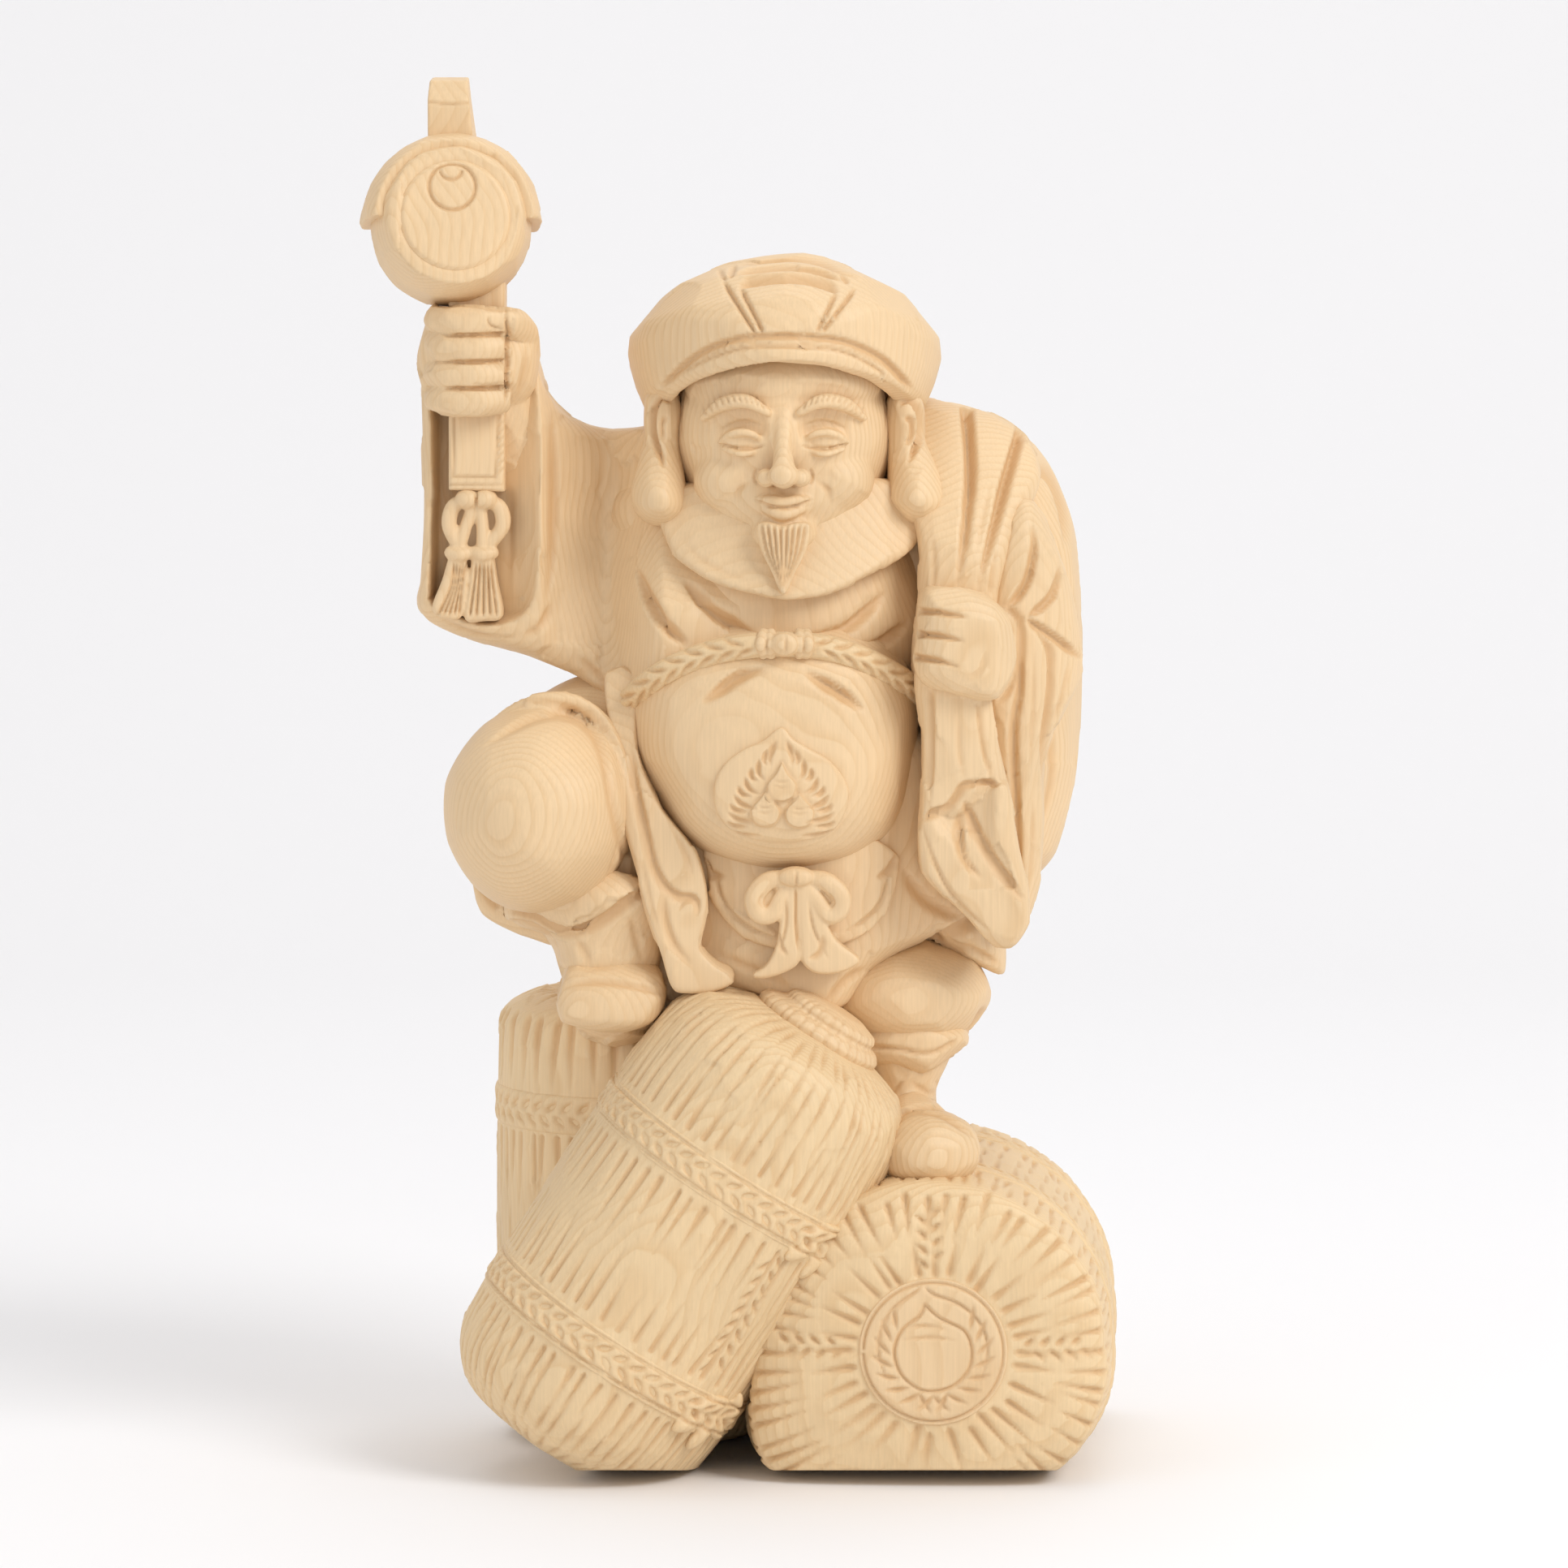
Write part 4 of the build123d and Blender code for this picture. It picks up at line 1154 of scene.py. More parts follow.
beard_outline = curve([
    (3.2, 205.2), (6.0, 205.9), (8.9, 205.2), (11.8, 205.9), (14.7, 205.2), (14.0, 200.6), (11.4, 195.4),
    (8.9, 190.6),
    (6.4, 195.4), (3.9, 200.6),
], 5, closed=True)
beard = relief(
    beard_outline, lambda x, z: -37.2 + 0.05 * (x - 8.9)**2 - 0.12 * (204 - z) * (z < 204),
    -28, 1.0, 1.6, 0.33)
beard.name = "beard"
front_cuts(beard, [
    line([(8.9 + s * 1.0, 205.8), (8.9 + s * 0.72, 199), (8.9 + s * 0.12, 191.6)], 1.0, 0.95, (0.1, 0.2))
    for s in (-4.9, -3.5, -2.1, -0.7, 0.7, 2.1, 3.5, 4.9)
])
finish_piece(beard, ["beard"], figure_wood)

for side, name, outline, lobe_at, grooves in (
    (-1, "ear_right", [
        (-17.9, 235.0), (-20.6, 232.6), (-21.2, 228), (-21.1, 223), (-22.3, 218), (-23.8, 212.2),
        (-22.8, 207.4),
        (-19.6, 204.9), (-15.2, 205.0), (-11.6, 208.4), (-12.2, 214), (-13.2, 221.3), (-13.0, 229),
        (-14.5, 234),
    ], (-17.6, 210.0), [
        fold([(-14.8, 230.8), (-17.3, 231.6), (-19.0, 228.4), (-18.8, 223.4), (-17.2, 219.4), (-16.6, 217)],
             0.7, 1.3, 1.8, (0.15, 0.2)),
        fold([(-15.6, 227.6), (-17.0, 226.2), (-16.6, 222.8)], 0.6, 1.3, 1.0, (0.2, 0.3)),
    ]),
    (1, "ear_left", [
        (33.0, 233.6), (37.0, 233.4), (39.0, 229.8), (39.4, 223), (41.6, 217.6), (44.0, 211.6), (43.6, 208.2),
        (40.2, 205.5), (35.6, 205.2), (31.6, 209.4), (31.4, 215.9), (31.0, 224), (31.2, 231),
    ], (37.8, 210.0), [
        fold([(33.6, 230.2), (36.0, 231.4), (38.0, 228.6), (38.2, 224), (36.4, 220.2), (35.4, 218)],
             1.3, 0.7, 1.8, (0.15, 0.2)),
        fold([(34.2, 227.4), (36.2, 226.8), (36.2, 223.6), (34.6, 222.2)], 1.3, 0.6, 1.2, (0.2, 0.2)),
    ]),
):
    def ear_front(x, z):
        return -21.5 - 6.5 * np.exp(-((x - lobe_at[0]) / 8)**2 - ((z - lobe_at[1]) / 8)**2)

    shell = relief(curve(outline, 5, closed=True), ear_front, -2, 6.0, 6.0, 0.45)
    ear = block(name, [shell], 0.45, 3)
    whittle(ear, 7, 0.3, 62)
    front_cuts(ear, grooves)
    finish_piece(ear, [name], figure_wood)


# ---------------------------------------------------------------- hat
# A soft cap tilted back: a broad flat front with a strapped middle panel and an arched band over it,
# a thin roll round its lower edge, and a crown cut in big flats.
def carve_away(piece, cutter):
    """Cuts the piece with a second solid, which is then removed."""
    only(piece)
    saw = piece.modifiers.new("saw", "BOOLEAN")
    saw.operation, saw.object, saw.solver = "DIFFERENCE", cutter, "EXACT"
    bpy.ops.object.modifier_apply(modifier="saw")
    only(cutter)
    bpy.ops.object.delete()
    only(piece)


hat = turned("hat", [
    (0, 20.6), (8, 20.0), (15, 17.6), (27, 10.8), (33.0, 3.0), (33.4, -1.0), (31.8, -7), (29.8, -12),
    (26, -13.2),
    (0, -13.2),
], 96)
hat.data.transform(
    Matrix.Translation((0.0091, -0.0068, 0.2412)) @ Matrix.Rotation(math.radians(-17.5), 4, "X")
    @ Matrix.Diagonal((1, 0.93, 1, 1)))
rim = [
    (-17.4, 232.6), (-15.2, 234.8), (-10.7, 238.2), (-5.4, 240.6), (2.0, 242.5), (10.4, 242.7), (18.3, 242.2),
    (24.1, 240.6), (29.4, 237.7), (33.2, 234.2), (35.2, 231.6),
]
forehead_gap = relief([(-19, 215)] + [tuple(p) for p in curve(rim)] + [(37, 215)], -60, -12, 0.01, 1, 1.2)
carve_away(hat, forehead_gap)
roll = limb([
    (-18.4, -12, 229.6), (-15.2, -20.5, 234.0), (-10.4, -27.5, 237.6), (-4, -32.4, 240.0), (3, -35.0, 241.4),
    (9, -35.8, 241.8), (16, -35.0, 241.3), (22, -32.4, 239.9), (28.2, -27.5, 237.4), (32.8, -20.5, 233.8),
    (36.0, -12, 229.8),
], [2.0] * 11)
hat = block("hat", [hat, roll], 0.52, 3)
whittle(hat, 15, 0.55, 63)
band_edge = [
    (-17.6, 234.2), (-12.8, 239.1), (-8.5, 242.2), (-4.3, 244.1), (1.5, 245.5), (10.4, 245.8), (18.8, 245.1),
    (24.1, 243.8), (29.4, 241.2), (32.6, 238.5), (37.0, 233.6),
]
front_cuts(hat, [
    fold(band_edge, 0.7, 1.6, 1.4, (0.05, 0.05)),
    line([(x, z - 1.7) for x, z in band_edge[1:-1]], 0.8, 0.6, (0.1, 0.1)),
    line([(x * 0.985, z + 0.6) for x, z in rim[1:-1]], 1.2, 0.8, (0.1, 0.1)),
    line([(-4.1, 257.2), (3.0, 245.9)], 1.3, 1.2, (0.15, 0.1)),
    line([(-0.4, 255.9), (4.6, 246.1)], 1.3, 1.2, (0.15, 0.1)),
    line([(20.2, 254.8), (16.0, 246.1)], 1.3, 1.2, (0.15, 0.1)),
    line([(24.3, 255.6), (17.0, 246.1)], 1.3, 1.2, (0.15, 0.1)),
    fold([(-0.6, 255.8), (5.2, 256.8), (10.4, 257.1), (15.7, 256.4), (20.6, 254.6)], 2.0, 0.6, 1.5, (0.1, 0.1)),
    line([(-1.6, 258.6), (5.2, 259.6), (11.5, 259.8), (16.7, 258.9), (21.4, 257.1)], 1.5, 1.3, (0.15, 0.15)),
    line([(-0.8, 260.2), (5.2, 261.3), (11.5, 261.7), (16.7, 260.8), (21.2, 259.0), (25.2, 257.4)], 1.5, 1.2),
    line([(-5.3, 259.4), (-3.3, 257.2)], 1.4, 1.0), line([(-1.4, 260.3), (-2.9, 257.6)], 1.8, 1.1),
    line([(21.2, 258.4), (22.8, 256.4)], 1.4, 0.8),
])
finish_piece(hat, ["hat"], figure_wood)


# ---------------------------------------------------------------- collar
# A broad soft collar lies round the neck and stands a little proud of the chest. It is one flat-cut
# piece of cypress, glued round the neck joint, which it hides.
collar_outline = curve([
    (-20, 211), (-17.8, 205.2), (-14.9, 198.8), (-10.8, 195.4), (-6.1, 192.9), (1.6, 190.7), (9.6, 189.4),
    (18.1, 190.5), (26.4, 194.0), (32.0, 197.2), (37.5, 201), (39, 212), (9, 216),
], 5, closed=True)
collar = relief(
    collar_outline, lambda x, z: -36.2 + 0.010 * (x - 9)**2 + 0.42 * (z - 190), 6, 1.6, 1.4, 0.6, back_rise=8)
collar.name = "collar"
whittle(collar, 10, 0.5, 64)
front_cuts(collar, [
    line([(-13.5, 203.4), (-9.6, 198.6), (-4, 195.4), (3, 193.2)], 1.8, 0.4, (0.4, 0.5)),
])
finish_piece(collar, ["collar"], figure_wood)


# ---------------------------------------------------------------- raised right sleeve
# The wide sleeve of the raised arm. Its mouth is scooped out deep behind the mallet's handle, its
# inner edge runs up as a ridge, and a broad hollow leads from there to the shoulder.
sleeve_outline = curve([
    (-69.0, 236), (-69.2, 224), (-69.0, 206), (-69.8, 192), (-70.2, 186.6), (-67.6, 183.4), (-62.0, 180.6),
    (-55.6, 178.4), (-48.0, 176.2), (-41.5, 173.6), (-34.6, 170.4), (-29.5, 166.0), (-26.5, 162.5), (-18, 157),
    (-5, 156), (4, 170), (6, 200), (2, 222), (-12, 226.5), (-20, 225.2), (-26, 224.4), (-32, 224.8),
    (-36.8, 226.6),
    (-40.6, 229.8), (-43.0, 234), (-44.6, 240.0), (-48, 246.5), (-57, 247.5), (-65, 244),
], 5, closed=True)


def sleeve_front(x, z):
    hollow = -14.5 + 14 * np.clip((z - 170) / 40, 0, 1)**0.7 * np.clip((x + 43) / 16, 0, 1)**0.6
    chest_side = np.clip((x + 31) / 15, 0, 1)
    on_chest = -29.5 + 17 * np.clip((z - 188) / 26, 0, 1)
    return hollow + (on_chest - hollow) * chest_side**2 * (3 - 2 * chest_side)


sleeve = relief(sleeve_outline, sleeve_front, 14, 5.0, 6.5, 0.72)
sleeve = block("right_sleeve", [sleeve], 0.72, 4)
mouth = curve([
    (-66.9, 246), (-67.2, 226), (-67.2, 206), (-67.9, 190.5), (-66.6, 187.2), (-61.5, 184.4), (-55.0, 182.6),
    (-49.4, 183.6), (-45.6, 187), (-44.0, 195), (-43.6, 212), (-44.0, 228), (-46.0, 246),
], 5, closed=True)
points = read(sleeve)
depth = inside(points[:, 0], points[:, 2], mouth)
wall = np.clip(depth / 1.6, 0, 1) * np.clip((-43.4 - points[:, 0]) / 15, 0, 1)**0.75
points[:, 1] += 9 * wall * np.clip((10 - points[:, 1]) / 20, 0, 1)
write(sleeve, points)
whittle(sleeve, 9, 0.4, 65)
front_cuts(sleeve, [
    fold([(-41.0, 229), (-40.2, 215), (-40.6, 199), (-42.2, 187.5)], 0.8, 2.0, 1.0, (0.3, 0.4)),
    line([(-66.0, 184.4), (-60.5, 181.6), (-54.0, 180.0), (-47, 180.2)], 1.4, 0.6, (0.3, 0.4)),
    fold([(-47.5, 180.4), (-43.6, 183.0), (-41.4, 187.5)], 0.7, 1.8, 0.8),
    line([(-36, 176), (-31, 171.5), (-27.5, 166)], 2.4, 0.7),
    line([(-62.5, 224), (-62.8, 206), (-63.6, 192)], 1.6, 0.5, (0.4, 0.4)),
    line([(-50.5, 214), (-50.3, 200), (-50.6, 189)], 1.8, 0.5, (0.4, 0.4)),
] + chest_folds[:2])
back_cuts(sleeve, [
    fold([(-8, 216), (-22, 208), (-38, 204), (-54, 206)], 3.4, 1.0, 2.2, (0.3, 0.35)),
    fold([(-6, 200), (-20, 194), (-36, 190), (-50, 190)], 3.4, 1.0, 2.2, (0.3, 0.35)),
    fold([(-8, 184), (-20, 180), (-32, 177), (-44, 178)], 3.0, 1.0, 1.8, (0.3, 0.35)),
    fold([(-58, 238), (-60, 222), (-61, 206), (-62, 190)], 1.0, 3.0, 1.8, (0.3, 0.2)),
])
finish_piece(sleeve, ["right_sleeve"], figure_wood)


# ---------------------------------------------------------------- mallet
# The lucky mallet, held up: a round drum with a jewel on its end, a strap over it, a wedge on top,
# and a square handle that comes out below the fist.
mallet_place = (
    Matrix.Translation((-0.0627, -0.011, 0.2686)) @ Matrix.Rotation(math.radians(-9), 4, "X")
    @ Matrix.Rotation(math.radians(6), 4, "Z") @ Matrix.Rotation(math.radians(90), 4, "X"))
drum = turned("drum", [
    (0, 15.2), (11.6, 15.2), (12.6, 15.6), (14.2, 15.2), (15.4, 12.6), (16.7, 7.0), (17.3, 0.5), (16.8, -6),
    (15.2, -12), (13.6, -15.4), (11.5, -15.9), (0, -15.7),
], 128)
drum = block("mallet_drum", [drum], 0.5, 1)
whittle(drum, 8, 0.4, 71)
drum.data.transform(mallet_place)
finish_piece(drum, ["mallet_drum"], figure_wood)

face = block("mallet_face", [turned("face", [(0, 16.3), (11.0, 16.1), (11.9, 15.3), (11.9, 13.6), (0, 13.6)],
    120)], 0.32, 1)
points = read(face)
ring = [(-0.7 + 5.0 * math.cos(a), 6.0 + 5.0 * math.sin(a)) for a in np.linspace(0, 2 * math.pi, 60)]
moon = [(-1.0 + 2.5 * math.cos(a), 10.0 + 2.5 * math.sin(a)) for a in np.linspace(-3.0, -0.1, 24)]
engrave(face, points[:, 0], points[:, 1], [
    (ring, 0.6, 0.45, 0.8, (0, 0)), (moon, 0.55, 0.45, 0.7, (0.05, 0.05)),
])
face.data.transform(mallet_place)
finish_piece(face, ["mallet_face"], figure_wood)

strap = turned("strap", [
    (14.0, 13.0), (16.6, 13.6), (17.5, 12.4), (18.7, 9), (19.3, 3), (19.3, -5), (18.6, -7.5), (15.4, -7.5)],
    160, ring=True)
bpy.ops.mesh.primitive_cube_add(size=1, location=(0, -0.05, 0))
lower_half = bpy.context.object
lower_half.scale = (0.12, 0.1, 0.05)
bpy.ops.object.transform_apply()
carve_away(strap, lower_half)
strap = block("mallet_band", [strap], 0.42, 1)
points = read(strap)
u = np.arctan2(points[:, 1], points[:, 0]) * 18
engrave(strap, u, points[:, 2], [
    ([(1.5, 5.0), (28, 6.0), (55, 5.2)], 0.6, 0.6, 0.5, (0.02, 0.02)),
    ([(2.2, -7), (2.2, 8)], 0.7, 0.7, 0.7, (0, 0)),
])
whittle(strap, 6, 0.4, 72)
strap.data.transform(mallet_place)
finish_piece(strap, ["mallet_band"], figure_wood)

finial = bpy.data.meshes.new("finial")
corners = [
    (-67.4, -16.0, 286.5), (-57.6, -16.0, 286.5), (-57.4, -2, 287), (-67.2, -2, 287),
    (-67.4, -16.6, 295.4), (-58.4, -16.6, 295.0), (-58.6, -3, 296), (-67.4, -3, 296),
    (-67.0, -14.6, 299.8), (-58.8, -14.6, 299.8), (-59.0, -4.6, 300.6), (-66.8, -4.6, 300.6),
]
finial.from_pydata([Vector(c) * MM for c in corners], [], [
    (0, 3, 2, 1), (0, 1, 5, 4), (1, 2, 6, 5), (2, 3, 7, 6), (3, 0, 4, 7), (4, 5, 9, 8), (5, 6, 10, 9),
    (6, 7, 11, 10),
    (7, 4, 8, 11), (8, 9, 10, 11),
])
finial = bpy.data.objects.new("mallet_finial", finial)
bpy.context.scene.collection.objects.link(finial)
finial = block("mallet_finial", [finial], 0.4, 1)
front_cuts(finial, [
    line([(-67.6, 295.2), (-63, 294.6), (-57.6, 295.0)], 0.9, 0.5, (0.05, 0.05)),
    line([(-66, 301.5), (-63.6, 300.6), (-61, 301.4)], 0.7, 0.3),
])
finish_piece(finial, ["mallet_finial"], figure_wood)

handle = relief([(-63.2, 212), (-51.2, 211.6), (-50.8, 262), (-63.0, 262)], -17.2, -6, 0.9, 1.1, 0.42)
handle.name = "mallet_handle"
front_cuts(handle, [
    line([(-61.9, 227.5), (-62.0, 220), (-62.3, 214.9)], 0.9, 0.6, (0, 0)),
    line([(-62.3, 214.9), (-53.2, 214.8)], 0.9, 0.6, (0, 0)),
    line([(-53.2, 214.8), (-52.4, 229)], 0.9, 0.6, (0, 0)),
    line([(-62.8, 213.2), (-51.6, 213.0)], 0.7, 0.5, (0, 0)),
] + [line([(-52.9, 215.4 + 1.7 * i), (-51.2, 216.7 + 1.7 * i)], 0.8, 0.6) for i in range(8)])
finish_piece(handle, ["mallet_handle"], figure_wood)

# The fist: four fingers laid across the handle, the back of the hand cut flat, the thumb on top.
fingers = [
    limb([(-65.2, -12, z + 0.3), (-64.6, -17.0, z + 0.3), (-60.6, -20.6, z), (-55.4, -21.4, z),
        (-51.8, -19.8, z)],
         [3.0, 3.3, 3.3, 3.2, 2.7])
    for z in (248.4, 242.5, 236.8, 231.3)
]
fist = block("right_fist", fingers + [
    lump((-58.0, -11.5, 240.0), (9.6, 8.6, 12.6)), lump((-50.4, -11.5, 239.5), (6.4, 8.6, 10.0)),
    limb([(-46.8, -10, 240), (-46.9, -14.5, 245.5), (-49.4, -19.4, 248.0), (-51.6, -20.6, 248.6)],
        [3.2, 3.1, 3.0, 2.7]),
    limb([(-53, -8, 232), (-50.5, -6, 226), (-49, -3, 218)], [8.4, 7.4, 7.0]),
    limb([(-64.6, -12, 234), (-65.2, -12, 240), (-64.4, -12, 246.5)], [4.4, 4.8, 4.2]),
], 0.45, 5)
whittle(fist, 6, 0.45, 73)
front_cuts(fist, [
    line([(-64.0, 245.3), (-58, 245.4), (-50.8, 245.6)], 1.1, 1.1, (0.25, 0.05)),
    line([(-64.0, 239.6), (-58, 239.7), (-50.6, 239.8)], 1.1, 1.1, (0.25, 0.05)),
    line([(-64.0, 234.1), (-58, 234.0), (-50.8, 234.2)], 1.1, 1.1, (0.25, 0.05)),
    line([(-50.6, 251.2), (-50.2, 246), (-50.3, 238), (-50.6, 230.5)], 1.1, 1.2, (0.2, 0.2)),
    line([(-54.4, 249.6), (-53.6, 247.4), (-51.2, 246.6)], 0.8, 0.7),
    line([(-46.2, 243), (-46.6, 237), (-48.6, 231)], 2.6, 0.7, (0.4, 0.4)),
])
finish_piece(fist, ["right_fist"], figure_wood)

# The tassel cord: a two-lobed knot, a loop on each side, and two fringed ends.
tassels = [
    relief(curve([(-62.6, 199), (-59.9, 199), (-59.3, 192), (-60.6, 184.6), (-64, 184.0), (-67.0, 186.2),
        (-64.8, 192.5)], 4,
                 closed=True), -16.0, -8, 1.2, 1.6, 0.32),
    relief(curve([(-57.9, 199), (-54.3, 199), (-52.9, 192), (-51.7, 184.6), (-55.5, 183.6), (-59.9, 184.0),
        (-58.9, 192)], 4,
                 closed=True), -16.0, -8, 1.2, 1.6, 0.32),
]
tassel = block("mallet_tassel", tassels + [
    lump((-59.2, -15.4, 210.0), (2.7, 2.6, 2.3)), lump((-55.4, -15.4, 210.0), (2.7, 2.6, 2.3)),
    limb([(-59, -14.5, 209.8), (-62.2, -14.6, 208.4), (-63.2, -14.6, 204.4), (-61.6, -14.4, 200.4)],
        [1.4, 1.7, 1.7, 1.5]),
    limb([(-55.5, -14.5, 209.8), (-52.4, -14.6, 208.2), (-51.7, -14.6, 204.2), (-54.6, -14.4, 200.2)],
        [1.4, 1.7, 1.7, 1.5]),
    limb([(-58.2, -14.8, 208), (-59.6, -14.8, 204), (-60.9, -14.6, 200)], [1.4, 1.4, 1.5]),
    limb([(-56.4, -14.8, 208), (-56.0, -14.8, 204), (-56.0, -14.6, 200)], [1.4, 1.4, 1.5]),
    limb([(-62.9, -14.8, 198.4), (-61.0, -15.6, 198.0), (-59.2, -14.8, 198.4)], [1.5, 1.6, 1.5]),
    limb([(-58.0, -14.8, 198.4), (-56.0, -15.6, 198.0), (-53.9, -14.8, 198.4)], [1.5, 1.6, 1.5]),
], 0.32, 1)
strokes = [line([(-57.2, 212), (-57.3, 208)], 0.7, 0.7)]
strokes += [line([(-62.2 + 0.75 * i, 196.4), (-62.8 + 0.62 * i, 191), (-65.8 + 1.2 * i, 184.6)], 0.9, 1.0,
    (0.15, 0.1)) for i in range(5)]
strokes += [line([(-57.4 + 0.85 * i, 196.4), (-58.0 + 1.1 * i, 191), (-58.9 + 1.5 * i, 184.4)], 0.9, 1.0,
    (0.15, 0.1)) for i in range(5)]
front_cuts(tassel, strokes)
finish_piece(tassel, ["mallet_tassel"], figure_wood)


# ---------------------------------------------------------------- sack
# A full sack hangs down the back. Its neck comes over the left shoulder in long gathers to the hand,
# and its mouth hangs below the hand in loose folds. Dowels hold it to the robe.
sack_outline = curve([
    (12, 136), (8, 170), (12, 212), (24, 227), (36, 230.6), (41.6, 229.9), (48.7, 228.8), (55.8, 226.3),
    (62, 222.2),
    (67.0, 216.0), (70.8, 207.6), (73.2, 198.6), (74.2, 189), (74.3, 175), (74.1, 162), (73.5, 150),
    (71.6, 139.6),
    (68.6, 130.6), (62.6, 124.8), (50, 121), (30, 123),
], 4, closed=True)
sack = relief(sack_outline, lambda x, z: -14 + 0.004 * np.clip(z - 180, 0, 60)**2, 52.5, 30, 30, 0.95)
sack = block("sack_body", [sack], 0.95, 4)
whittle(sack, 15, 0.45, 81)
front_cuts(sack, [
    fold([(60.5, 211.5), (65.6, 214.4), (69.2, 208.4), (70.4, 199)], 2.6, 0.9, 1.4, (0.3, 0.4)),
    line([(66.5, 160), (67.5, 150), (65.5, 138)], 2.6, 0.8),
], 1.0)
back_cuts(sack, [
    fold([(34, 226), (42, 214), (52, 204), (62, 196)], 3.4, 1.0, 2.2, (0.15, 0.5)),
    fold([(26, 222), (30, 206), (36, 190), (44, 176)], 3.4, 1.0, 2.4, (0.15, 0.5)),
    fold([(20, 214), (20, 196), (22, 178), (27, 162)], 3.4, 1.0, 2.0, (0.15, 0.5)),
    fold([(60, 136), (50, 131), (38, 130), (26, 134)], 1.0, 3.0, 1.6, (0.4, 0.4)),
])
finish_piece(sack, ["sack_body"], figure_wood)

neck_outline = curve([
    (37.4, 172), (38.0, 190), (37.4, 203), (33.0, 212), (33.0, 226), (37.5, 230.2), (42, 230.5), (49, 229.0),
    (56, 226.8), (61.6, 222.6), (64.5, 215), (61.0, 207), (57.6, 199), (54.6, 189), (53.5, 172),
], 5, closed=True)
neck = relief(
    neck_outline, lambda x, z: -31.5 + 0.0172 * np.clip(z - 190, 0, 60)**2 + 0.018 * (x - 46)**2,
    14, 3.5, 5, 0.62)
neck = block("sack_neck", [neck], 0.62, 2)
whittle(neck, 8, 0.5, 82)
front_cuts(neck, [
    (curve([(48.4, 230.5), (48.8, 215.7), (47.6, 204), (45.9, 192.4)]), 1.9, 1.4, 3.2, (0, 0.6)),
    (curve([(60.2, 224.5), (56.6, 214.6), (53.4, 203), (50.2, 191.2)]), 1.9, 1.2, 2.9, (0, 0.6)),
    line([(40.6, 203), (41.0, 196), (40.5, 190)], 1.6, 0.5),
    line([(53.5, 214), (51.5, 206), (50.0, 199)], 1.6, 0.4),
    line([(54.5, 200), (53.4, 194), (52.8, 189)], 1.6, 0.6),
])
finish_piece(neck, ["sack_neck"], figure_wood)

# The left arm bends at the elbow inside its sleeve, which is drawn into folds there and hangs down.
arm_outline = curve([
    (58.6, 209.0), (61.0, 210.4), (63.2, 208.4), (65.6, 204.6), (68.8, 197.0), (71.6, 188), (73.4, 176.6),
    (72.8, 170.6), (68.6, 162.2), (65.9, 156.2), (65.0, 149.5), (65.2, 141), (64.6, 131), (62.6, 122.5),
    (59.6, 117.6), (55.5, 121), (53.0, 132), (53.4, 148), (53, 160), (51, 172), (51.5, 182), (53.0, 189.2),
    (55.6, 200),
], 4, closed=True)
arm = relief(
    arm_outline, lambda x, z: -27.5 + 0.035 * np.clip(x - 57, 0, 30)**2 + 0.02 * np.clip(z - 196, 0, 30)**2
    + 2.5 * np.clip((168 - z) / 20, 0, 1), 4, 4, 5, 0.6)
arm = block("left_sleeve", [arm], 0.6, 2)
whittle(arm, 8, 0.5, 83)
front_cuts(arm, [
    (curve([(62.4, 205), (63.0, 199.5), (61.6, 193), (58.6, 188.4), (55.6, 187.4)]), 0.7, 1.9, 1.9,
        (0.35, 0.2)),
    (curve([(68.4, 196), (67.7, 190.7), (64.9, 187.2), (61.0, 185.0)]), 0.7, 1.9, 1.7, (0.35, 0.2)),
    (curve([(60.8, 185.0), (64.9, 182.5), (69.0, 179.6), (73.4, 175.8)]), 0.7, 1.7, 1.7, (0.15, 0.25)),
    (curve([(61.4, 183.9), (65.6, 178.4), (65.9, 169.7), (64.6, 158.1), (65.0, 148)]), 1.6, 0.7, 1.3,
        (0.2, 0.3)),
    (curve([(60.0, 182.6), (59.8, 170.0), (58.6, 160), (59.2, 146), (59.6, 132), (58.8, 122)]), 0.8, 1.8, 1.5,
        (0.15, 0.2)),
    (curve([(55.4, 188.0), (58.9, 184.4), (59.4, 177.6), (58.2, 171.6), (54.6, 166.6)]), 1.6, 0.6, 1.1,
        (0.1, 0.15)),
    line([(62.4, 178), (62.4, 166), (61.8, 152)], 1.6, 0.5),
    line([(70.6, 176), (69.2, 169), (66.8, 162)], 1.6, 0.6),
    line([(62.4, 146), (62.4, 134), (61.0, 124)], 1.4, 0.5),
])
finish_piece(arm, ["left_sleeve"], figure_wood)

hand_outline = curve([
    (38.8, 191.2), (44.1, 191.9), (49.2, 191.2), (54.0, 188.8), (57.4, 184.2), (58.0, 177.1), (56.5, 171.2),
    (52.7, 168.0), (46.2, 169.2), (40.6, 171.0), (37.3, 173.4), (36.9, 177), (37.6, 182.0), (37.9, 186.6),
], 5, closed=True)
hand = relief(hand_outline, lambda x, z: -42.6 + 0.012 * (x - 44)**2, -25, 5.5, 6.5, 0.42)
hand = block("left_hand", [hand], 0.42, 2)
whittle(hand, 7, 0.5, 84)
front_cuts(hand, [
    (curve([(36.2, 187.0), (42, 186.9), (48.2, 186.0)]), 1.2, 0.7, 1.7, (0, 0.5)),
    (curve([(35.8, 182.2), (41.5, 182.0), (47.6, 180.9)]), 1.2, 0.7, 1.7, (0, 0.5)),
    (curve([(35.6, 177.3), (41, 176.8), (46.6, 175.4)]), 1.2, 0.7, 1.7, (0, 0.5)),
    line([(47.5, 172), (50.8, 175), (52.0, 179)], 2.0, 0.4),
])
finish_piece(hand, ["left_hand"], figure_wood)

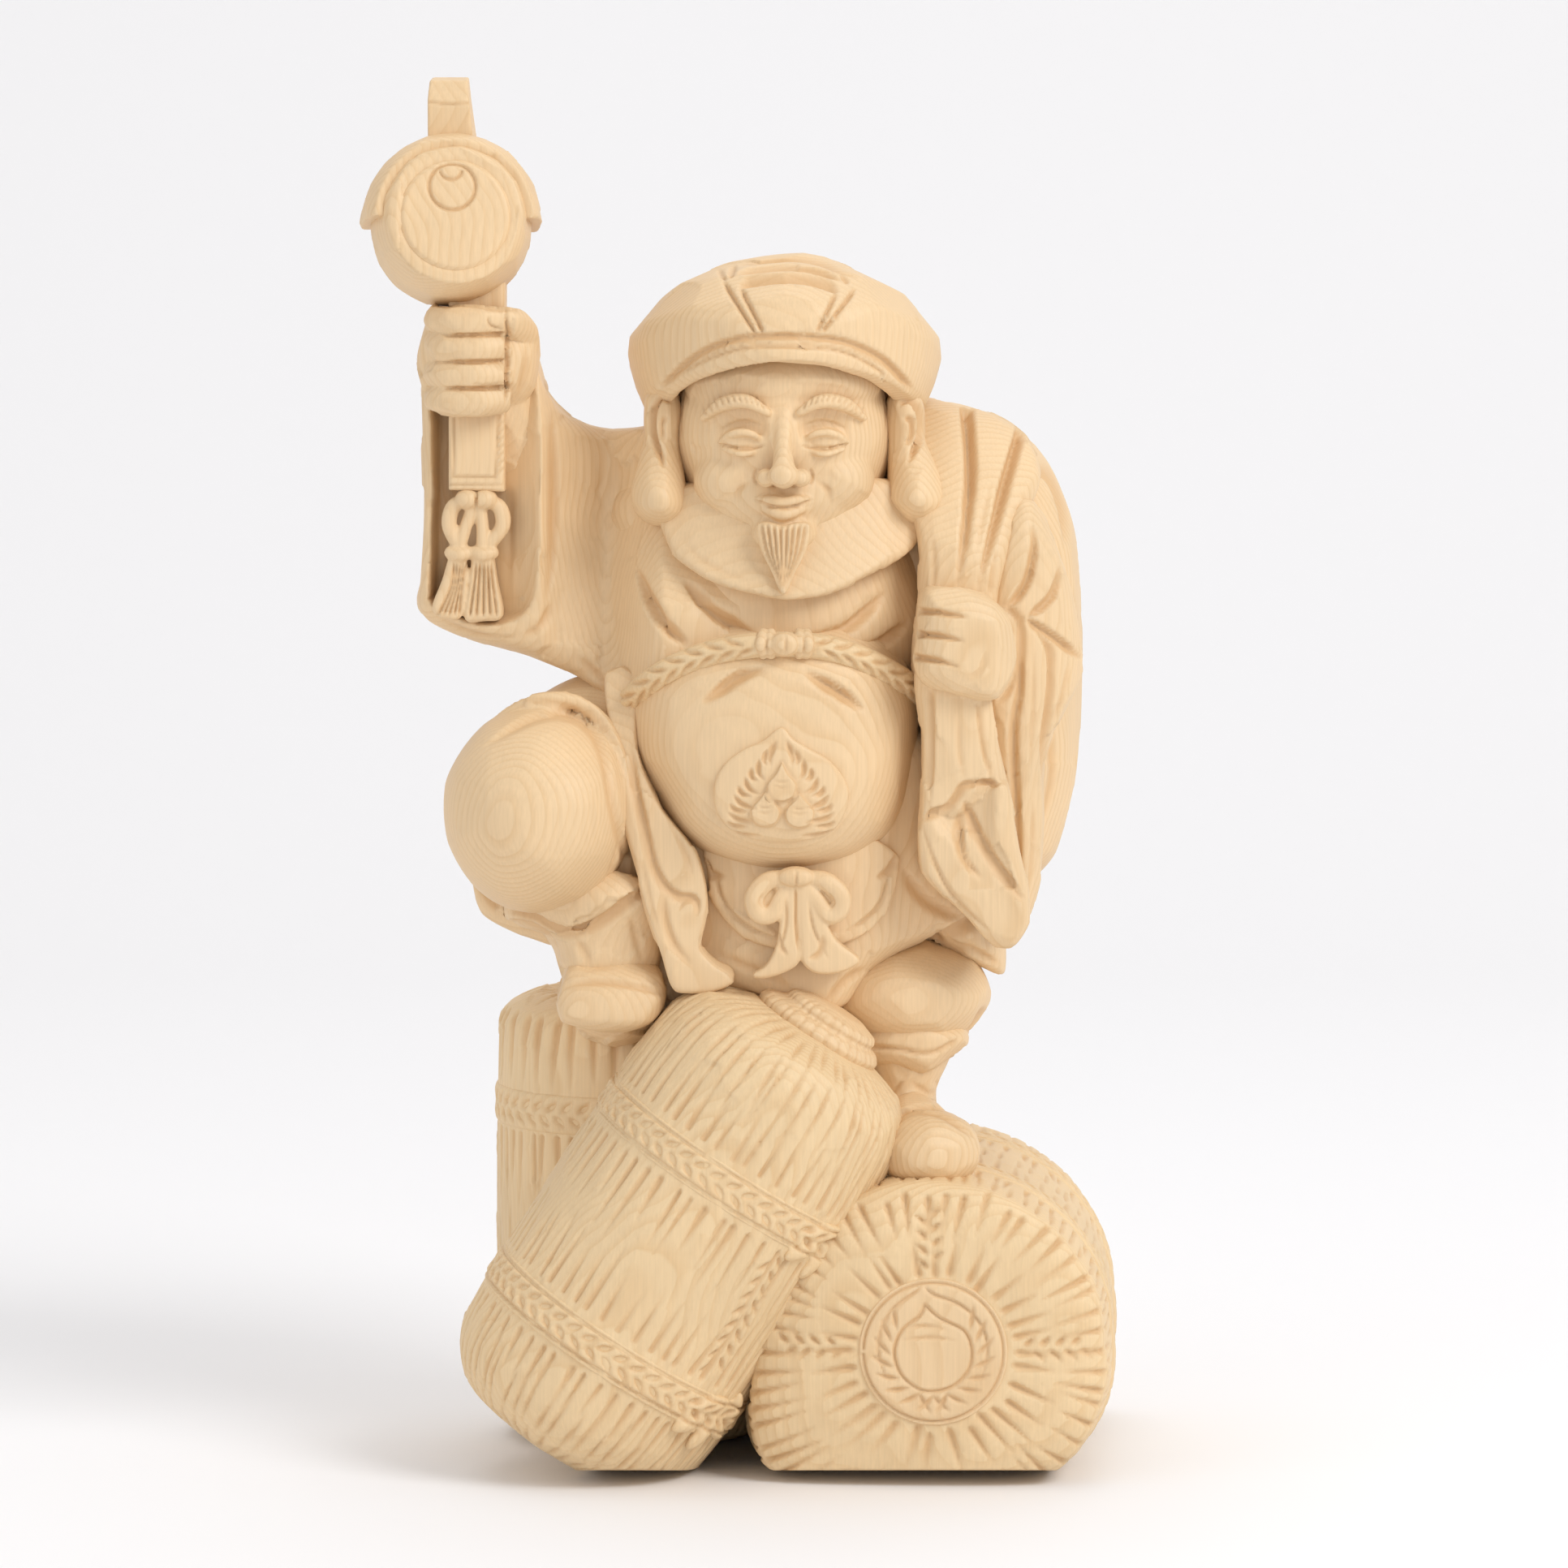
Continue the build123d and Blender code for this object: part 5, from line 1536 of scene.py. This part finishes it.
mouth_outline = curve([
    (37.6, 175), (38.5, 160), (38.4, 146), (37.7, 137), (38.8, 130.6), (42.6, 126.2), (47.6, 121.8),
    (51.6, 117.2),
    (55.4, 114.9), (58.9, 115.9), (61.5, 120.4), (61.2, 127.4), (59.2, 137), (57.4, 147.5), (54.8, 159),
    (53.4, 168), (52, 175),
], 5, closed=True)
mouth_cloth = relief(mouth_outline, lambda x, z: -36.5 + 0.03 * (x - 46)**2 * (z > 150), -18, 2.6, 3.4, 0.5)
mouth_cloth = block("sack_tail", [mouth_cloth], 0.5, 2)
points = read(mouth_cloth)
hollow = curve([
    (39.6, 143.6), (43.0, 145.6), (46.0, 146.0), (48.9, 149.1), (51.0, 150.9), (54.6, 150.4), (54.0, 141),
    (58.6, 127),
    (60.0, 119.5), (56.5, 117), (50.5, 128), (44.5, 137),
], 4, closed=True)
depth = inside(points[:, 0], points[:, 2], hollow)
scooped = np.clip(depth / 2.4, 0, 1) * np.clip((points[:, 2] - 118) / 30, 0, 1)
points[:, 1] += 2.2 * scooped * (points[:, 1] < -22)
write(mouth_cloth, points)
whittle(mouth_cloth, 8, 0.45, 85)
front_cuts(mouth_cloth, [
    fold([(40.4, 171), (40.6, 158), (40.2, 146)], 0.6, 1.4, 0.9, (0.1, 0.3)),
    fold([(50.0, 168), (51.4, 158), (53.4, 150.6)], 1.4, 0.6, 0.9, (0.2, 0.3)),
    line([(46.2, 166), (46.4, 157), (47.6, 151)], 2.0, 0.5),
    fold([(38.4, 142.2), (40.4, 144.3), (43.4, 145.2), (45.3, 147.6), (47.1, 150.1), (51.1, 150.7),
        (55, 150.0)],
         0.7, 2.0, 1.4, (0.1, 0.1)),
    (curve([(47.6, 146.8), (50.4, 140.6), (53.4, 135.0), (57.2, 129.8), (60.4, 125.0)]), 0.8, 2.4, 1.5,
        (0.15, 0.2)),
    (curve([(47.1, 144.0), (46.9, 138.5), (48.3, 133.6), (51.4, 130.0)]), 0.8, 2.0, 1.5, (0.15, 0.35)),
    line([(38.6, 140.6), (41.0, 133.6), (45.3, 125.6), (53.4, 118.0)], 1.6, 0.8),
], 1.0)
finish_piece(mouth_cloth, ["sack_tail"], figure_wood)


# ---------------------------------------------------------------- hidden dowels
# Round beech pins, 6 and 8 mm thick with chamfered ends, hold the glued blocks together from inside:
# neck, both ankles, the raised arm, the sack and the three bales.
dowel_wood = carved_wood("turned_beech", "#D9B48A", "#C79C6E", "#C79C6E", 0.9, (25, 150), 0.55)
pins = []
for start, end, radius in (
    ((9, -6, 180), (10, -9, 214), 4), ((38, -10, 48), (37.5, -10, 78), 3), ((-31, 0, 84), (-31, 0, 112), 3),
    ((-12, 2, 196), (-32, 1, 196), 3), ((18, -6, 190), (36, 14, 190), 3), ((20, 0, 150), (38, 18, 150), 3),
    ((-13, -20, 40), (-22, 12, 40), 3), ((-8, -24, 22), (26, -8, 22), 3),
):
    way = Vector(end) - Vector(start)
    pin = turned("pin", [
        (0, 0), (radius - 0.8, 0), (radius, 0.8), (radius, way.length - 0.8), (radius - 0.8, way.length),
        (0, way.length),
    ], 40)
    turn = way.to_track_quat("Z", "Y").to_matrix().to_4x4()
    pin.data.transform(Matrix.Translation(Vector(start) * MM) @ turn)
    pins.append(pin)
only(pins[0])
for pin in pins[1:]:
    pin.select_set(True)
bpy.ops.object.join()
pins[0].name = "hidden_dowels"
finish_piece(pins[0], ["hidden_dowels"], dowel_wood)
